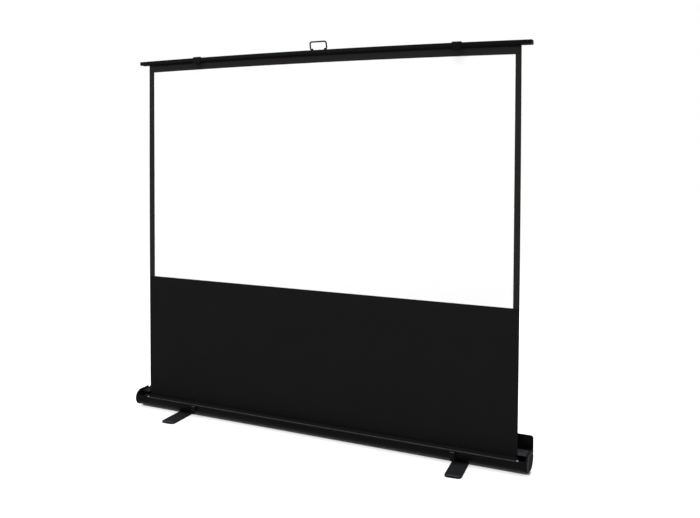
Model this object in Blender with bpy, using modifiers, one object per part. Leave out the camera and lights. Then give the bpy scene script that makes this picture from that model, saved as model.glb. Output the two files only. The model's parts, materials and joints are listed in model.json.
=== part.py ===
"""Portable floor screen: a pull-up sheet on a spring roller in a floor case, held up by two elbow arms.

Metres, +Z up. X runs along the case, the sheet faces -Y and lies in the plane Y = 0, and the
floor is Z = 0. The origin is on the floor, midway between the two feet.
"""
import math

import bmesh
import bpy
from mathutils import Matrix, Vector

# Clearances and cut overruns
GAP = 0.0003
RUNNING_GAP = 0.0005
CUT_OVERRUN = 0.004
WELD_DISTANCE = 0.00001

# Sheet
VIEW_WIDTH = 2.214
VIEW_HEIGHT = 1.245
VIEW_BOTTOM = 0.810
SIDE_BORDER = 0.033
TOP_BORDER = 0.0455
SHEET_THICKNESS = 0.0006
SHEET_TUCK = 0.008
VIEW_TOP_RISE = 0.011

# Top bar
BAR_OVERHANG = 0.053
BAR_DEPTH = 0.048
BAR_HEIGHT = 0.022
BAR_WALL = 0.0018
BAR_CORNER = 0.005
BAR_HEM = 0.007
BAR_RISE = 0.011
BAR_END_THICKNESS = 0.006
BAR_END_BEVEL = 0.0012
BATTEN_WIDTH = 0.012
BATTEN_HEIGHT = 0.0095
BOW_STATIONS = 12

# Case
CASE_OVERHANG = 0.0570
CASE_FRONT = -0.064
CASE_REAR = 0.080
CASE_WALL = 0.002
CASE_RADIUS = 0.045
CASE_REAR_RADIUS = 0.055
LIP_HEIGHT = 0.0775
LIP_WIDTH = 0.010
LIP_RADIUS = 0.004
SHELL_REAR_TOP = 0.109
REAR_COVER_TOP = 0.166
REAR_COVER_LAP = 0.031
REAR_COVER_CORNER = 0.012
PARTITION_FACE = 0.042
PARTITION_WALL = 0.0015
PARTITION_TOP = 0.109
PARTITION_BOLT_GAP = 0.003
RAIL_UPSTAND = 0.009

# End caps
CAP_THICKNESS = 0.010
CAP_PROUD = 0.0015
CAP_PEAK_Y = 0.041
CAP_TOP = 0.109
CAP_SHOULDER_TOP = 0.094
CAP_NOTCH_TOP = 0.070
CAP_NOTCH_Y = 0.062
CAP_NOTCH_MID = 0.086
CAP_SPIGOT_DEPTH = 0.008
CAP_SPIGOT_WALL = 0.002
CAP_SPIGOT_ROOT = 0.002
CAP_BROW_Y = -0.028
CAP_DECK_DEPTH = 0.036
CAP_DECK_WALL = 0.002
CAP_DECK_FRONT = (-0.0495, 0.0795)
CAP_DECK_BEND = (-0.030, 0.0845)
CAP_DECK_BACK = (0.0385, 0.1010)
LIP_SCREW_RADIUS = 0.0055
LIP_SCREW_HEAD = 0.0040
LIP_SCREW_PAST_SHEET = {"left": -0.031, "right": 0.012}

# Feet
FOOT_INSET = 0.3470
FOOT_WIDTH = 0.086
FOOT_LENGTH = 0.430
FOOT_THICKNESS = 0.012
FOOT_CORNER = 0.020
FOOT_BEVEL = 0.0018
FOOT_CASE_GAP = 0.0015
SOLE_THICKNESS = 0.0015
SOLE_INSET = 0.006
FOOT_BOLT_RADIUS = 0.006
FOOT_BOLT_HEAD_RADIUS = 0.011
FOOT_BOLT_HEAD = 0.005
FOOT_BOLT_RECESS = 0.001
FOOT_WASHER_RADIUS = 0.016
FOOT_WASHER_THICKNESS = 0.0009
FOOT_TURN_DEG = {"left": 3.0, "right": 5.0}

# Roller
ROLLER_OVERHANG = 0.005
ROLLER_RADIUS = 0.024
ROLLER_WALL = 0.0012
WRAP_THICKNESS = 0.0015
ROLLER_HEIGHT = 0.0555
PLUG_DEPTH = 0.030
PLUG_FLANGE = 0.004
AXLE_RADIUS = 0.004
AXLE_PAST_ANCHOR = 0.012
IDLE_PIN_LENGTH = 0.052
HOLDER_HUB_RADIUS = 0.010
HOLDER_FLANGE_RADIUS = 0.021
HOLDER_FLANGE = 0.005
ANCHOR_RADIUS = 0.017
ANCHOR_LENGTH = 0.014
SPRING_RADIUS = 0.0145
SPRING_WIRE_RADIUS = 0.0012
SPRING_LENGTH = 0.270
SPRING_TURNS = 15
SPRING_STEPS = 8

# Elbow arms
ARM_PIVOT_SPACING = 0.032
ARM_REST_DEG = 26.0
ARM_WIDTH = 0.026
ARM_EYE_RADIUS = 0.0145
ARM_THICKNESS = 0.0105
ARM_LAYER_GAP = 0.002
ARM_BAY_CLEARANCE = 0.004
ARM_PIN_RADIUS = 0.004
ARM_PIN_HEAD_RADIUS = 0.007
ARM_PIN_HEAD = 0.0018
ARM_GROOVE_WIDTH = 0.012
ARM_GROOVE_DEPTH = 0.0016
ARM_GROOVE_SETBACK = 0.045
ARM_WASHER_RADIUS = 0.010
ARM_WASHER_THICKNESS = 0.0014
BASE_PIVOT_HEIGHT = 0.074
TOP_PIVOT_ABOVE_BAR = 0.006
GEAR_TEETH = 16
GEAR_TOP = 0.0014
GEAR_ROOT = 0.0022
GEAR_ROOT_WIDTH_SHARE = 0.55
GEAR_PITCH_WIDTH_SHARE = 0.43
GEAR_TIP_WIDTH_SHARE = 0.22
BRACKET_WALL = 0.0022
BRACKET_WIDTH = 0.110
BRACKET_CHEEK_ABOVE_PIVOT = 0.013
BRACKET_LIP = 0.013

# Handle
HANDLE_SHIFT = 0.027
HANDLE_WIDTH = 0.106
HANDLE_HEIGHT = 0.050
HANDLE_WIRE_RADIUS = 0.0035
HANDLE_CORNER = 0.011
HANDLE_FOOT = 0.014
HANDLE_PIVOT_HEIGHT = 0.0050
HANDLE_LEAN_DEG = 12.0
EAR_WIDTH = 0.008
EAR_RADIUS = 0.0058
EAR_BASE = 0.015

# Latches
LATCH_INSET = 0.4070
LATCH_SHIFT = 0.033
KEEPER_SHIFT = 0.022
LATCH_WIDTH = 0.022
LATCH_SHEET = 0.0018
LATCH_HINGE_HEIGHT = 0.070
LATCH_KNUCKLE_RADIUS = 0.0033
LATCH_LEAN_DEG = 38.0
LATCH_HOOK = 0.006
LATCH_PLATE = 0.002
LATCH_EAR_WIDTH = 0.005
LATCH_EAR_ABOVE = 0.0015
LATCH_EAR_BELOW = 0.0075
KEEPER_WIDTH = 0.048
KEEPER_SHEET = 0.0016
KEEPER_CROWN = 0.0052
KEEPER_DEPTH = 0.017
KEEPER_DROP = 0.020
KEEPER_HOOK_LIP = 0.004

# Sizes and places worked out from those above
SHEET_WIDTH = VIEW_WIDTH + 2 * SIDE_BORDER
ROLLER_LENGTH = SHEET_WIDTH + 2 * ROLLER_OVERHANG
CASE_LENGTH = ROLLER_LENGTH + 2 * CASE_OVERHANG
BAR_LENGTH = SHEET_WIDTH + 2 * BAR_OVERHANG
VIEW_TOP = VIEW_BOTTOM + VIEW_HEIGHT
BAR_BOTTOM = VIEW_TOP + TOP_BORDER
BAR_TOP = BAR_BOTTOM + BAR_HEIGHT
CASE_FLOOR = FOOT_THICKNESS + FOOT_CASE_GAP
ROUND_Y = CASE_FRONT + CASE_RADIUS
ROUND_Z = CASE_FLOOR + CASE_RADIUS
REAR_ROUND_Y = CASE_REAR - CASE_REAR_RADIUS
REAR_ROUND_Z = CASE_FLOOR + CASE_REAR_RADIUS
LIP_END_Y = CASE_FRONT + LIP_WIDTH
SHELL_HALF = CASE_LENGTH / 2 - CAP_THICKNESS - GAP
CAP_INNER = CASE_LENGTH / 2 - CAP_THICKNESS
PARTITION_HALF = CAP_INNER - CAP_SPIGOT_DEPTH - RUNNING_GAP
FOOT_X = CASE_LENGTH / 2 - FOOT_INSET
WRAP_INNER = ROLLER_RADIUS + GAP
WRAP_OUTER = WRAP_INNER + WRAP_THICKNESS
ROLLER_Y = -(WRAP_OUTER + GAP + SHEET_THICKNESS / 2)
ROLLER_HALF = ROLLER_LENGTH / 2
PLUG_END = ROLLER_HALF + GAP + PLUG_FLANGE
HUB_END = PLUG_END + RUNNING_GAP
LOWER_ARM_FRONT = PARTITION_FACE + PARTITION_WALL + ARM_BAY_CLEARANCE
LOWER_ARM_Y = LOWER_ARM_FRONT + ARM_THICKNESS / 2
UPPER_ARM_Y = LOWER_ARM_Y + ARM_THICKNESS + ARM_LAYER_GAP
CHEEK_Y = UPPER_ARM_Y + ARM_THICKNESS / 2 + ARM_LAYER_GAP / 2 + BRACKET_WALL / 2
FRONT_CHEEK_Y = PARTITION_FACE + PARTITION_WALL + GAP + BRACKET_WALL / 2
PIVOT_X = ARM_PIVOT_SPACING / 2
GEAR_OUTER = PIVOT_X + GEAR_TOP
TOP_PIVOT_HEIGHT = BAR_BOTTOM + TOP_PIVOT_ABOVE_BAR
REST_ANGLE = math.radians(ARM_REST_DEG)
ARM_LENGTH = (TOP_PIVOT_HEIGHT - BASE_PIVOT_HEIGHT) / (2 * math.cos(REST_ANGLE))
ELBOW_X = PIVOT_X + ARM_LENGTH * math.sin(REST_ANGLE)
ELBOW_Z = BASE_PIVOT_HEIGHT + ARM_LENGTH * math.cos(REST_ANGLE)
CAP_RADIUS = CASE_RADIUS + CAP_PROUD
CAP_SHOULDER_Y = ROUND_Y - math.sqrt(CAP_RADIUS ** 2 - (CAP_SHOULDER_TOP - ROUND_Z) ** 2)
CAP_SLOPE = (CAP_TOP - CAP_SHOULDER_TOP) / (CAP_PEAK_Y - CAP_SHOULDER_Y)
CAP_SEAT = CAP_SHOULDER_TOP + CAP_SLOPE * (BAR_DEPTH / 2 - CAP_SHOULDER_Y)
CLOSED_BAR_BOTTOM = CAP_SEAT + RUNNING_GAP
HANDLE_AXIS_Z = BAR_TOP + BAR_RISE + HANDLE_PIVOT_HEIGHT
HANDLE_HALF = HANDLE_WIDTH / 2 - HANDLE_WIRE_RADIUS
LATCH_X = CASE_LENGTH / 2 - LATCH_INSET
SIDES = (("left", -1), ("right", 1))


def new_collection(name):
    collection = bpy.data.collections.new(name)
    bpy.context.scene.collection.children.link(collection)
    return collection


def finish(name, color, roughness, metallic=0.0):
    """One Principled material for one sub-part."""
    material = bpy.data.materials.new(name)
    material.use_nodes = True
    shader = material.node_tree.nodes["Principled BSDF"]
    shader.inputs["Base Color"].default_value = (*color, 1.0)
    shader.inputs["Roughness"].default_value = roughness
    shader.inputs["Metallic"].default_value = metallic
    return material


BLACK_PAINT = ((0.010, 0.010, 0.011), 0.35, 0.0)
BLACK_PLASTIC = ((0.014, 0.014, 0.015), 0.45, 0.0)
GREY_PLASTIC = ((0.030, 0.032, 0.036), 0.55, 0.0)
BLACK_STEEL = ((0.020, 0.020, 0.022), 0.40, 0.6)
BRIGHT_STEEL = ((0.62, 0.62, 0.64), 0.25, 1.0)
RUBBER = ((0.020, 0.020, 0.020), 0.85, 0.0)
ALUMINIUM = ((0.42, 0.42, 0.44), 0.35, 1.0)
WHITE_SHEET = ((0.86, 0.86, 0.86), 0.70, 0.0)
BLACK_SHEET = ((0.012, 0.012, 0.012), 0.80, 0.0)


def add_object(name, data, look, collection=None):
    obj = bpy.data.objects.new(name, data)
    (collection or PARTS).objects.link(obj)
    if look:
        data.materials.append(finish(name, *look))
    return obj


def hide_cutter(obj):
    obj.hide_render = True
    obj.display_type = "WIRE"
    return obj


def mesh_from(name, bm, look, collection=None):
    bmesh.ops.recalc_face_normals(bm, faces=bm.faces)
    mesh = bpy.data.meshes.new(name)
    bm.to_mesh(mesh)
    bm.free()
    return add_object(name, mesh, look, collection)


def smooth_round(obj, angle_deg=35.0):
    obj.data.shade_smooth()
    obj.data.set_sharp_from_angle(angle=math.radians(angle_deg))
    return obj


def arc(centre, radius, start_deg, end_deg, count):
    """Points (y, z) along an arc."""
    points = []
    for i in range(count + 1):
        angle = math.radians(start_deg + (end_deg - start_deg) * i / count)
        points.append((centre[0] + radius * math.cos(angle), centre[1] + radius * math.sin(angle)))
    return points


def circle(centre, radius, count=24):
    return arc(centre, radius, 0.0, 360.0, count)[:-1]


def rounded_rectangle(half_width, half_height, radius, count=5):
    points = []
    for i, (sx, sy) in enumerate(((1, 1), (-1, 1), (-1, -1), (1, -1))):
        corner = (sx * (half_width - radius), sy * (half_height - radius))
        points += arc(corner, radius, 90.0 * i, 90.0 * (i + 1), count)
    return points


def box(name, low, high, look):
    bm = bmesh.new()
    bmesh.ops.create_cube(bm, size=1.0)
    size = Vector(high) - Vector(low)
    centre = (Vector(high) + Vector(low)) / 2
    matrix = Matrix.Translation(centre) @ Matrix.Diagonal((*size, 1.0))
    bmesh.ops.transform(bm, verts=bm.verts, matrix=matrix)
    return mesh_from(name, bm, look)


def round_edges(obj, width):
    bevel = obj.modifiers.new("rounded_edges", "BEVEL")
    bevel.width = width
    bevel.segments = 2
    bevel.limit_method = "ANGLE"
    bevel.angle_limit = math.radians(40.0)


def rod(name, place, radius, length, direction, look, sides=16, collection=None):
    """A solid cylinder along a direction, centred on its place."""
    bm = bmesh.new()
    turn = Vector((0, 0, 1)).rotation_difference(Vector(direction)).to_matrix().to_4x4()
    bmesh.ops.create_cone(bm, cap_ends=True, segments=sides, radius1=radius, radius2=radius,
                          depth=length, matrix=Matrix.Translation(place) @ turn)
    return smooth_round(mesh_from(name, bm, look, collection))


def turned(name, profile, look, place, direction=(1, 0, 0), sides=24):
    """A closed profile of (radius, height along the axis) turned round its axis by a Screw modifier."""
    bm = bmesh.new()
    ring = [bm.verts.new((radius, 0.0, height)) for radius, height in profile]
    for i, vert in enumerate(ring):
        bm.edges.new((vert, ring[(i + 1) % len(ring)]))
    mesh = bpy.data.meshes.new(name)
    bm.to_mesh(mesh)
    bm.free()
    obj = add_object(name, mesh, look)
    screw = obj.modifiers.new("turned", "SCREW")
    screw.steps = screw.render_steps = sides
    screw.use_merge_vertices = True
    screw.merge_threshold = WELD_DISTANCE
    screw.use_smooth_shade = False
    turn = Vector((0, 0, 1)).rotation_difference(Vector(direction)).to_matrix().to_4x4()
    obj.matrix_world = Matrix.Translation(place) @ turn
    return obj


def ring_profile(outer, inner, low, high):
    """A plain ring's section, outer side first, running down."""
    return [(outer, high), (outer, low), (inner, low), (inner, high)]


AXIS_TURN = {"X": (math.pi / 2, 0.0, math.pi / 2), "Y": (math.pi / 2, 0.0, 0.0), "Z": (0.0, 0.0, 0.0)}


def slab(name, outlines, thickness, axis, place, look, collection=None):
    """A flat outline with holes, as a filled 2D curve, thick along X, Y or Z."""
    curve = bpy.data.curves.new(name, "CURVE")
    curve.dimensions = "2D"
    curve.fill_mode = "BOTH"
    curve.extrude = thickness / 2
    for outline in outlines:
        spline = curve.splines.new("POLY")
        spline.points.add(len(outline) - 1)
        spline.use_cyclic_u = True
        for point, (a, b) in zip(spline.points, outline):
            point.co = (a, b, 0.0, 1.0)
    obj = add_object(name, curve, look, collection)
    obj.location = place
    obj.rotation_euler = AXIS_TURN[axis]
    return obj


def as_mesh(obj, collection=None):
    """The curve object as a welded mesh object of the same name, ready to cut."""
    bpy.context.view_layer.update()
    evaluated = obj.evaluated_get(bpy.context.evaluated_depsgraph_get())
    mesh = bpy.data.meshes.new_from_object(evaluated)
    bm = bmesh.new()
    bm.from_mesh(mesh)
    bmesh.ops.remove_doubles(bm, verts=bm.verts, dist=WELD_DISTANCE)
    bmesh.ops.recalc_face_normals(bm, faces=bm.faces)
    bm.to_mesh(mesh)
    bm.free()
    name, matrix = obj.name, obj.matrix_world.copy()
    bpy.data.objects.remove(obj)
    solid = bpy.data.objects.new(name, mesh)
    (collection or PARTS).objects.link(solid)
    solid.name = name
    solid.matrix_world = matrix
    return solid


def tube_along(name, points, radius, look, resolution=2):
    """A wire or rod along a path of points, with filled ends."""
    curve = bpy.data.curves.new(name, "CURVE")
    curve.dimensions = "3D"
    curve.bevel_depth = radius
    curve.bevel_resolution = resolution
    curve.use_fill_caps = True
    spline = curve.splines.new("POLY")
    spline.points.add(len(points) - 1)
    for point, place in zip(spline.points, points):
        point.co = (*place, 1.0)
    return add_object(name, curve, look)


def strip(name, path, x_from, x_to, thickness, look, collection=None):
    """Sheet metal: an open path of (y, z) drawn out along X and given its thickness on both sides."""
    bm = bmesh.new()
    verts = [bm.verts.new((x_from, y, z)) for y, z in path]
    edges = [bm.edges.new(pair) for pair in zip(verts, verts[1:])]
    drawn = bmesh.ops.extrude_edge_only(bm, edges=edges)["geom"]
    bmesh.ops.translate(bm, verts=[v for v in drawn if isinstance(v, bmesh.types.BMVert)],
                        vec=(x_to - x_from, 0.0, 0.0))
    obj = mesh_from(name, bm, look, collection)
    solidify = obj.modifiers.new("sheet", "SOLIDIFY")
    solidify.thickness = thickness
    solidify.offset = 0.0
    solidify.use_even_offset = True
    return smooth_round(obj)


def cut(obj, cutter, operation="DIFFERENCE"):
    boolean = obj.modifiers.new(cutter.name, "BOOLEAN")
    boolean.operation = operation
    boolean.solver = "EXACT"
    boolean.object = cutter
    return obj


def bow_share(x):
    """How much of the bar's rise is reached at x: all of it at the middle, none at the ends."""
    return 1.0 - (2 * x / BAR_LENGTH) ** 2


def bow_with_bar(obj):
    """Bends a straight mesh upwards in the middle, as the arms and the pulled sheet bend the bar."""
    bm = bmesh.new()
    bm.from_mesh(obj.data)
    xs = [v.co.x for v in bm.verts]
    for i in range(1, BOW_STATIONS):
        x = -BAR_LENGTH / 2 + BAR_LENGTH * i / BOW_STATIONS
        if min(xs) < x < max(xs):
            geometry = list(bm.verts) + list(bm.edges) + list(bm.faces)
            bmesh.ops.bisect_plane(bm, geom=geometry, plane_co=(x, 0, 0), plane_no=(1, 0, 0))
    for vert in bm.verts:
        vert.co.z += bow_share(vert.co.x) * BAR_RISE
    bm.to_mesh(obj.data)
    bm.free()
    return obj


def joint_frame(name, place):
    """An empty on a joint's axis, which carries that joint's moving pieces."""
    empty = bpy.data.objects.new(name, None)
    PARTS.objects.link(empty)
    empty.location = place
    return empty


def carry(empty, *objects):
    bpy.context.view_layer.update()
    for obj in objects:
        obj.parent = empty
        obj.matrix_parent_inverse = empty.matrix_world.inverted()


def lip_bend(inset):
    """The centre (y, z) of the lip's front bend, on the case's section inset from its outer face."""
    bend_z = LIP_HEIGHT - inset - LIP_RADIUS
    reach = math.sqrt((CASE_RADIUS - inset) ** 2 - (bend_z - ROUND_Z) ** 2)
    return (ROUND_Y - reach + LIP_RADIUS, bend_z)


def case_path(inset):
    """The case's section from the lip round the front, floor and back, inset from its outer face."""
    radius = CASE_RADIUS - inset
    bend = lip_bend(inset)
    start_deg = 180.0 - math.degrees(math.asin((bend[1] - ROUND_Z) / radius))
    path = [(LIP_END_Y, LIP_HEIGHT - inset)]
    path += arc(bend, LIP_RADIUS, 90.0, 180.0, 4)
    path += arc((ROUND_Y, ROUND_Z), radius, start_deg, 270.0, 12)[1:]
    path += arc((REAR_ROUND_Y, REAR_ROUND_Z), CASE_REAR_RADIUS - inset, 270.0, 360.0, 9)
    return path


def cap_outline():
    """The end cap's outline: proud of the case all round, level under the lowered bar, peaked behind it."""
    start_deg = 180.0 - math.degrees(math.asin((CAP_SHOULDER_TOP - ROUND_Z) / CAP_RADIUS))
    outline = [(CAP_PEAK_Y, CAP_TOP), (BAR_DEPTH / 2, CAP_SEAT), (CAP_BROW_Y, CAP_SEAT)]
    outline += arc((ROUND_Y, ROUND_Z), CAP_RADIUS, start_deg, 270.0, 14)
    outline += arc((REAR_ROUND_Y, REAR_ROUND_Z), CASE_REAR_RADIUS + CAP_PROUD, 270.0, 360.0, 10)
    outline += [(CASE_REAR + CAP_PROUD, CAP_NOTCH_TOP), (CAP_NOTCH_Y, CAP_NOTCH_MID)]
    return outline


def case_inside_floor(y):
    """The height of the shell's inner face under a place y on its rear round."""
    radius = CASE_REAR_RADIUS - CASE_WALL
    return REAR_ROUND_Z - math.sqrt(radius ** 2 - (y - REAR_ROUND_Y) ** 2)


def make_case():
    shell_path = case_path(CASE_WALL / 2) + [(CASE_REAR - CASE_WALL / 2, SHELL_REAR_TOP)]
    shell = strip("case_shell", shell_path, -SHELL_HALF, SHELL_HALF, CASE_WALL, BLACK_PAINT)
    for side, sign in SIDES:
        cut(shell, hide_cutter(rod("bolt_hole_cutter_" + side, (sign * FOOT_X, 0.0, CASE_FLOOR),
                                   FOOT_BOLT_RADIUS + GAP, 2 * (CASE_WALL + CUT_OVERRUN), (0, 0, 1),
                                   None, 20, CUTTERS)))

    wall_bottom = case_inside_floor(PARTITION_FACE + PARTITION_WALL) + GAP
    box("arm_bay_partition", (-PARTITION_HALF, PARTITION_FACE, wall_bottom),
        (PARTITION_HALF, PARTITION_FACE + PARTITION_WALL, PARTITION_TOP), BLACK_PAINT)
    rail_y = PARTITION_FACE - GAP - PARTITION_WALL / 2
    rail_z = case_inside_floor(REAR_ROUND_Y) + GAP + PARTITION_WALL / 2
    corner_z = case_inside_floor(rail_y) + PARTITION_WALL
    strip("partition_rail",
          [(FOOT_BOLT_HEAD_RADIUS + PARTITION_BOLT_GAP, rail_z), (REAR_ROUND_Y, rail_z), (rail_y, corner_z),
           (rail_y, corner_z + RAIL_UPSTAND)],
          -PARTITION_HALF, PARTITION_HALF, PARTITION_WALL, BLACK_PAINT)

    cover_bottom = SHELL_REAR_TOP - REAR_COVER_LAP
    cover_half_height = (REAR_COVER_TOP - cover_bottom) / 2
    cover_y = CASE_REAR - CASE_WALL - GAP - CASE_WALL / 2
    corner = REAR_COVER_CORNER
    outline = [(-PARTITION_HALF, -cover_half_height), (CASE_LENGTH / 2, -cover_half_height)]
    outline += arc((CASE_LENGTH / 2 - corner, cover_half_height - corner), corner, 0.0, 90.0, 5)
    outline += arc((corner - PARTITION_HALF, cover_half_height - corner), corner, 90.0, 180.0, 5)
    slab("rear_cover", [outline], CASE_WALL, "Y", (0.0, cover_y, cover_bottom + cover_half_height),
         BLACK_PAINT)


def make_end_cap(name, side):
    """A moulded end: an outer plate, a spigot that plugs into the case and a deck over the roller's end."""
    plate_x = side * (CAP_INNER + CAP_THICKNESS / 2)
    plate = as_mesh(slab(name, [cap_outline()], CAP_THICKNESS, "X", (plate_x, 0.0, 0.0), BLACK_PLASTIC))
    inset = CASE_WALL + GAP + CAP_SPIGOT_WALL / 2
    spigot = hide_cutter(strip(name + "_spigot_guide", case_path(inset)[5:],
                               side * (CAP_INNER - CAP_SPIGOT_DEPTH), side * (CAP_INNER + CAP_SPIGOT_ROOT),
                               CAP_SPIGOT_WALL, None, CUTTERS))
    cut(plate, spigot, "UNION")
    deck = hide_cutter(strip(name + "_deck_guide", [CAP_DECK_FRONT, CAP_DECK_BEND, CAP_DECK_BACK],
                             side * (CAP_INNER - CAP_DECK_DEPTH), side * (CAP_INNER + CAP_SPIGOT_ROOT),
                             CAP_DECK_WALL, None, CUTTERS))
    cut(plate, deck, "UNION")
    return plate


def make_lip_screw(side, sign):
    """The bright screw that holds the lip's end, near the sheet's edge."""
    place = (sign * (SHEET_WIDTH / 2 + LIP_SCREW_PAST_SHEET[side]), LIP_END_Y - LIP_SCREW_RADIUS / 2,
             LIP_HEIGHT + GAP + LIP_SCREW_HEAD / 2)
    rod("lip_screw_" + side, place, LIP_SCREW_RADIUS, LIP_SCREW_HEAD, (0, 0, 1), BRIGHT_STEEL, 14)


def make_foot(side, sign):
    """A flat bar on a rubber sole that swivels on its bolt, here turned a little from across the case."""
    name = "foot_" + side
    place = Vector((sign * FOOT_X, 0.0, 0.0))
    plate_low = SOLE_THICKNESS + GAP
    thickness = FOOT_THICKNESS - plate_low
    outline = rounded_rectangle(FOOT_WIDTH / 2, FOOT_LENGTH / 2, FOOT_CORNER)
    hole = circle((0.0, 0.0), FOOT_BOLT_RADIUS + GAP, 20)
    foot = as_mesh(slab(name, [outline, hole], thickness, "Z",
                        place + Vector((0.0, 0.0, plate_low + thickness / 2)), GREY_PLASTIC))
    round_edges(foot, FOOT_BEVEL)
    sole_outline = rounded_rectangle(FOOT_WIDTH / 2 - SOLE_INSET, FOOT_LENGTH / 2 - SOLE_INSET,
                                     FOOT_CORNER - SOLE_INSET)
    sole = slab(name + "_sole", [sole_outline], SOLE_THICKNESS, "Z",
                place + Vector((0.0, 0.0, SOLE_THICKNESS / 2)), RUBBER)
    swivel = joint_frame(name + "_swivel", place)
    carry(swivel, foot, sole)
    swivel.rotation_euler.z = math.radians(FOOT_TURN_DEG[side])


def make_foot_bolt(side, sign):
    """A shoulder bolt and its washer: head inside the case, shank down through the foot."""
    place = (sign * FOOT_X, 0.0, 0.0)
    low = SOLE_THICKNESS + GAP + FOOT_BOLT_RECESS
    head_low = CASE_FLOOR + CASE_WALL + GAP
    head_high = head_low + FOOT_BOLT_HEAD
    profile = [(FOOT_BOLT_HEAD_RADIUS, head_high), (FOOT_BOLT_HEAD_RADIUS, head_low),
               (FOOT_BOLT_RADIUS, head_low), (FOOT_BOLT_RADIUS, low), (0.0, low), (0.0, head_high)]
    turned("foot_bolt_" + side, profile, BLACK_STEEL, place, (0, 0, 1), 20)
    middle = FOOT_THICKNESS + FOOT_CASE_GAP / 2
    washer = ring_profile(FOOT_WASHER_RADIUS, FOOT_BOLT_RADIUS + GAP, middle - FOOT_WASHER_THICKNESS / 2,
                          middle + FOOT_WASHER_THICKNESS / 2)
    turned("foot_washer_" + side, washer, RUBBER, place, (0, 0, 1), 20)


def make_roller():
    """The sprung roller: tube, end plugs and the sheet's last wraps turn on two fixed shafts."""
    axis = (0.0, ROLLER_Y, ROLLER_HEIGHT)
    tube = turned("roller_tube", ring_profile(ROLLER_RADIUS, ROLLER_RADIUS - ROLLER_WALL,
                                              -ROLLER_HALF, ROLLER_HALF), ALUMINIUM, axis)
    wraps = turned("sheet_wraps", ring_profile(WRAP_OUTER, WRAP_INNER, -SHEET_WIDTH / 2, SHEET_WIDTH / 2),
                   BLACK_SHEET, axis)
    plug_radius = ROLLER_RADIUS - ROLLER_WALL - GAP
    bore = AXLE_RADIUS + GAP
    profile = [(ROLLER_RADIUS, PLUG_END), (ROLLER_RADIUS, ROLLER_HALF + GAP),
               (plug_radius, ROLLER_HALF + GAP), (plug_radius, ROLLER_HALF - PLUG_DEPTH),
               (bore, ROLLER_HALF - PLUG_DEPTH), (bore, PLUG_END)]
    plugs = [turned("roller_plug_" + side, profile, BLACK_PLASTIC, axis, (sign, 0, 0), 20)
             for side, sign in SIDES]
    carry(joint_frame("roller_spin", axis), tube, wraps, *plugs)


def make_roller_mounts():
    """Holders inside the end caps, their fixed shafts, and the spring that pulls the sheet back in."""
    axis = (0.0, ROLLER_Y, ROLLER_HEIGHT)
    flange_out = CAP_INNER - GAP
    bore = AXLE_RADIUS + GAP
    profile = [(HOLDER_FLANGE_RADIUS, flange_out), (HOLDER_FLANGE_RADIUS, flange_out - HOLDER_FLANGE),
               (HOLDER_HUB_RADIUS, flange_out - HOLDER_FLANGE), (HOLDER_HUB_RADIUS, HUB_END),
               (bore, HUB_END), (bore, flange_out)]
    for side, sign in SIDES:
        turned("roller_holder_" + side, profile, BLACK_PLASTIC, axis, (sign, 0, 0), 20)
    spring_start = ROLLER_HALF - PLUG_DEPTH - RUNNING_GAP - SPRING_WIRE_RADIUS
    spring_end = spring_start - SPRING_LENGTH
    anchor_high = spring_end - SPRING_WIRE_RADIUS - GAP
    anchor_low = anchor_high - ANCHOR_LENGTH
    turned("spring_anchor", ring_profile(ANCHOR_RADIUS, bore, anchor_low, anchor_high),
           BLACK_PLASTIC, axis, (-1, 0, 0), 20)
    shaft_end = flange_out - HOLDER_FLANGE / 2
    axle_length = shaft_end - (anchor_low - AXLE_PAST_ANCHOR)
    for name, sign, length in (("spring_axle", -1, axle_length), ("idle_pin", 1, IDLE_PIN_LENGTH)):
        middle = sign * (shaft_end - length / 2)
        rod(name, (middle, ROLLER_Y, ROLLER_HEIGHT), AXLE_RADIUS, length, (1, 0, 0), BRIGHT_STEEL, 14)
    steps = SPRING_TURNS * SPRING_STEPS
    points = []
    for i in range(steps + 1):
        angle = 2 * math.pi * i / SPRING_STEPS
        x = -(spring_start - SPRING_LENGTH * i / steps)
        points.append((x, ROLLER_Y + SPRING_RADIUS * math.cos(angle),
                       ROLLER_HEIGHT + SPRING_RADIUS * math.sin(angle)))
    tube_along("roller_spring", points, SPRING_WIRE_RADIUS, BRIGHT_STEEL, 1)


def arm_outline():
    """A bar with a round eye at each end, drawn upwards from the lower eye."""
    half = ARM_WIDTH / 2
    neck = math.degrees(math.asin(half / ARM_EYE_RADIUS))
    outline = arc((0.0, 0.0), ARM_EYE_RADIUS, 180.0 - (90.0 - neck), 360.0 + (90.0 - neck), 12)
    outline += arc((0.0, ARM_LENGTH), ARM_EYE_RADIUS, neck - 90.0, 270.0 - neck, 12)
    return outline


def make_arm(name, place, lean):
    """One link of an elbow arm, with a pressed groove down each face."""
    holes = [circle((0.0, at), ARM_PIN_RADIUS + GAP, 16) for at in (0.0, ARM_LENGTH)]
    arm = slab(name, [arm_outline()] + holes, ARM_THICKNESS, "Y", place, BLACK_STEEL)
    arm.rotation_euler.y = lean
    arm = as_mesh(arm)
    groove_half = ARM_LENGTH / 2 - ARM_GROOVE_SETBACK
    turn = Matrix.Translation(place) @ Matrix.Rotation(lean, 4, "Y") @ Matrix.Translation(
        (0.0, 0.0, ARM_LENGTH / 2))
    for face in (-1, 1):
        groove = slab(name + "_groove_cutter_%d" % face,
                      [rounded_rectangle(ARM_GROOVE_WIDTH / 2, groove_half, ARM_GROOVE_WIDTH / 2 - GAP, 4)],
                      2 * ARM_GROOVE_DEPTH, "Y", (0.0, 0.0, 0.0), None, CUTTERS)
        groove = as_mesh(groove, CUTTERS)
        groove.matrix_world = (turn @ Matrix.Translation((0.0, face * ARM_THICKNESS / 2, 0.0))
                               @ groove.matrix_world)
        cut(arm, hide_cutter(groove))
    return arm


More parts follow.
